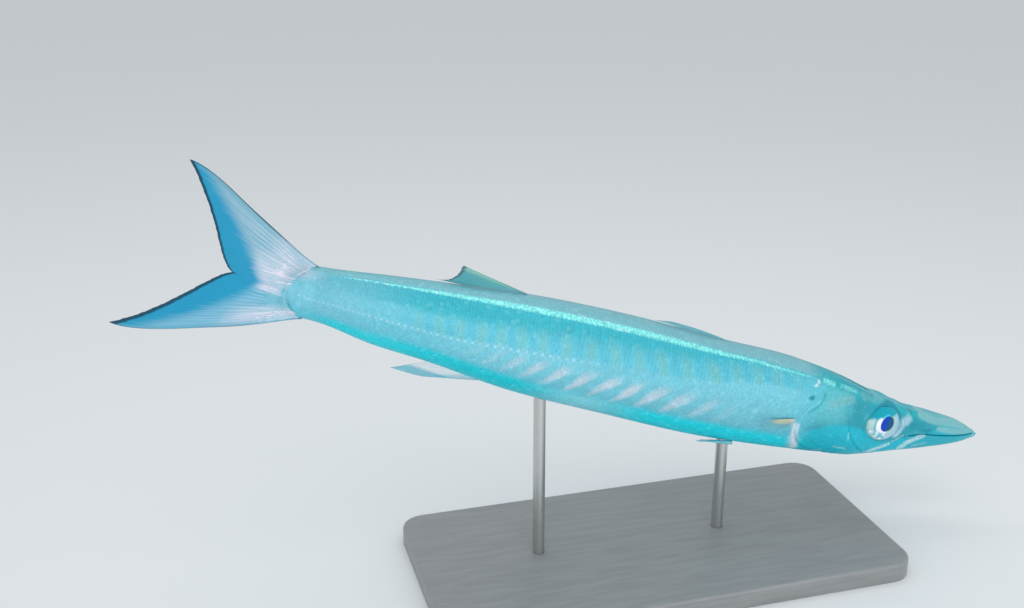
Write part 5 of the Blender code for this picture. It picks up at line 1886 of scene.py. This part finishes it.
def turn_up(mesh):
    """Turn the floor's faces up."""
    mesh.update()
    if mesh.polygons[0].normal.z < 0.0:
        mesh.flip_normals()


def aim(item, place, target):
    """Stand a light or camera at a place, looking at a target, without roll."""
    place = np.asarray(place, float)
    back = place - np.asarray(target, float)
    back = back / np.linalg.norm(back)
    right = np.cross((0.0, 0.0, 1.0), back)
    right = right / np.linalg.norm(right)
    up = np.cross(back, right)
    matrix = np.eye(4)
    matrix[:3, 0] = right
    matrix[:3, 1] = up
    matrix[:3, 2] = back
    matrix[:3, 3] = place
    item.matrix_world = Matrix(matrix.tolist())


def area_light(name, place, target, width, height, power, spread=math.pi):
    """A white rectangular soft light, whose beam opens by the spread."""
    data = bpy.data.lights.new(name, "AREA")
    data.shape = "RECTANGLE"
    data.size = width
    data.size_y = height
    data.energy = power
    data.spread = spread
    item = bpy.data.objects.new(name, data)
    bpy.context.scene.collection.objects.link(item)
    aim(item, place, target)


def build_lights(stage):
    """A large light above, a long strip along the back, a fill under the camera and pale
    surroundings. The fill stands on the floor, so its beam is narrow and spares the floor."""
    middle = (0.0, 0.0, BODY_HEIGHT)
    narrow = math.radians(70.0)
    area_light("key_light", (-0.5, -1.1, 1.9), middle, 1.8, 1.2, stage.key_power)
    area_light("strip_light", (0.15, 0.25, 1.5), middle, 2.2, 0.25, stage.key_power * 0.45)
    area_light("fill_light", (0.2, -1.3, 0.10), middle, 1.8, 0.4, stage.fill_power, narrow)
    world = bpy.data.worlds.new("pale_surroundings")
    bpy.context.scene.world = world
    world.use_nodes = True
    background = world.node_tree.nodes["Background"]
    background.inputs["Color"].default_value = (0.93, 0.97, 1.0, 1.0)
    background.inputs["Strength"].default_value = stage.world_strength


def build_camera():
    """The photograph's view. The camera stands back from the body's middle along the view
    direction, moved right and up, and its lens follows from the focal length in pixels."""
    back = np.array([
        math.sin(VIEW_TURN) * math.cos(VIEW_HEIGHT),
        -math.cos(VIEW_TURN) * math.cos(VIEW_HEIGHT),
        math.sin(VIEW_HEIGHT),
    ])
    right = np.array([math.cos(VIEW_TURN), math.sin(VIEW_TURN), 0.0])
    up = np.cross(back, right)
    middle = np.array([0.0, 0.0, BODY_HEIGHT])
    place = middle + back * VIEW_DISTANCE + right * VIEW_RIGHT + up * VIEW_UP
    data = bpy.data.cameras.new("camera")
    data.sensor_fit = "HORIZONTAL"
    data.sensor_width = 36.0
    data.lens = data.sensor_width * FOCAL_PIXELS / IMAGE_WIDTH
    data.clip_start = 0.01
    data.clip_end = 100.0
    camera = bpy.data.objects.new("camera", data)
    bpy.context.scene.collection.objects.link(camera)
    aim(camera, place, place - back)
    bpy.context.scene.camera = camera
    bpy.context.scene.view_settings.view_transform = "Standard"


class BARRACUDA_PT_panel(bpy.types.Panel):
    """The model's pieces, in the 3D view's sidebar"""

    bl_idname = "BARRACUDA_PT_panel"
    bl_label = "Barracuda"
    bl_space_type = "VIEW_3D"
    bl_region_type = "UI"
    bl_category = "Barracuda"

    def draw(self, context):
        layout = self.layout
        for operator in OPERATORS:
            layout.operator(operator.bl_idname)
        for group, _ in GROUPS:
            settings = getattr(context.scene, group)
            box = layout.box()
            for name in settings.__annotations__:
                box.prop(settings, name)


OPERATORS = (
    BARRACUDA_OT_skin, BARRACUDA_OT_scales, BARRACUDA_OT_eyes, BARRACUDA_OT_tail_fin,
    BARRACUDA_OT_median_fins, BARRACUDA_OT_paired_fins, BARRACUDA_OT_stand, BARRACUDA_OT_stage,
)
GROUPS = (
    ("barracuda_shape", BarracudaShape),
    ("barracuda_colours", BarracudaColours),
    ("barracuda_stage", BarracudaStage),
)


def register():
    """Make the settings, operators and panel known."""
    for name, group in GROUPS:
        bpy.utils.register_class(group)
        setattr(bpy.types.Scene, name, bpy.props.PointerProperty(type=group))
    for operator in OPERATORS:
        bpy.utils.register_class(operator)
    bpy.utils.register_class(BARRACUDA_PT_panel)


def unregister():
    """Take the settings, operators and panel away."""
    bpy.utils.unregister_class(BARRACUDA_PT_panel)
    for operator in reversed(OPERATORS):
        bpy.utils.unregister_class(operator)
    for name, group in reversed(GROUPS):
        delattr(bpy.types.Scene, name)
        bpy.utils.unregister_class(group)


def main():
    """Build every piece in order."""
    register()
    bpy.ops.barracuda.skin()
    bpy.ops.barracuda.scales()
    bpy.ops.barracuda.eyes()
    bpy.ops.barracuda.tail_fin()
    bpy.ops.barracuda.median_fins()
    bpy.ops.barracuda.paired_fins()
    bpy.ops.barracuda.stand()
    bpy.ops.barracuda.stage()


if __name__ == "__main__":
    main()
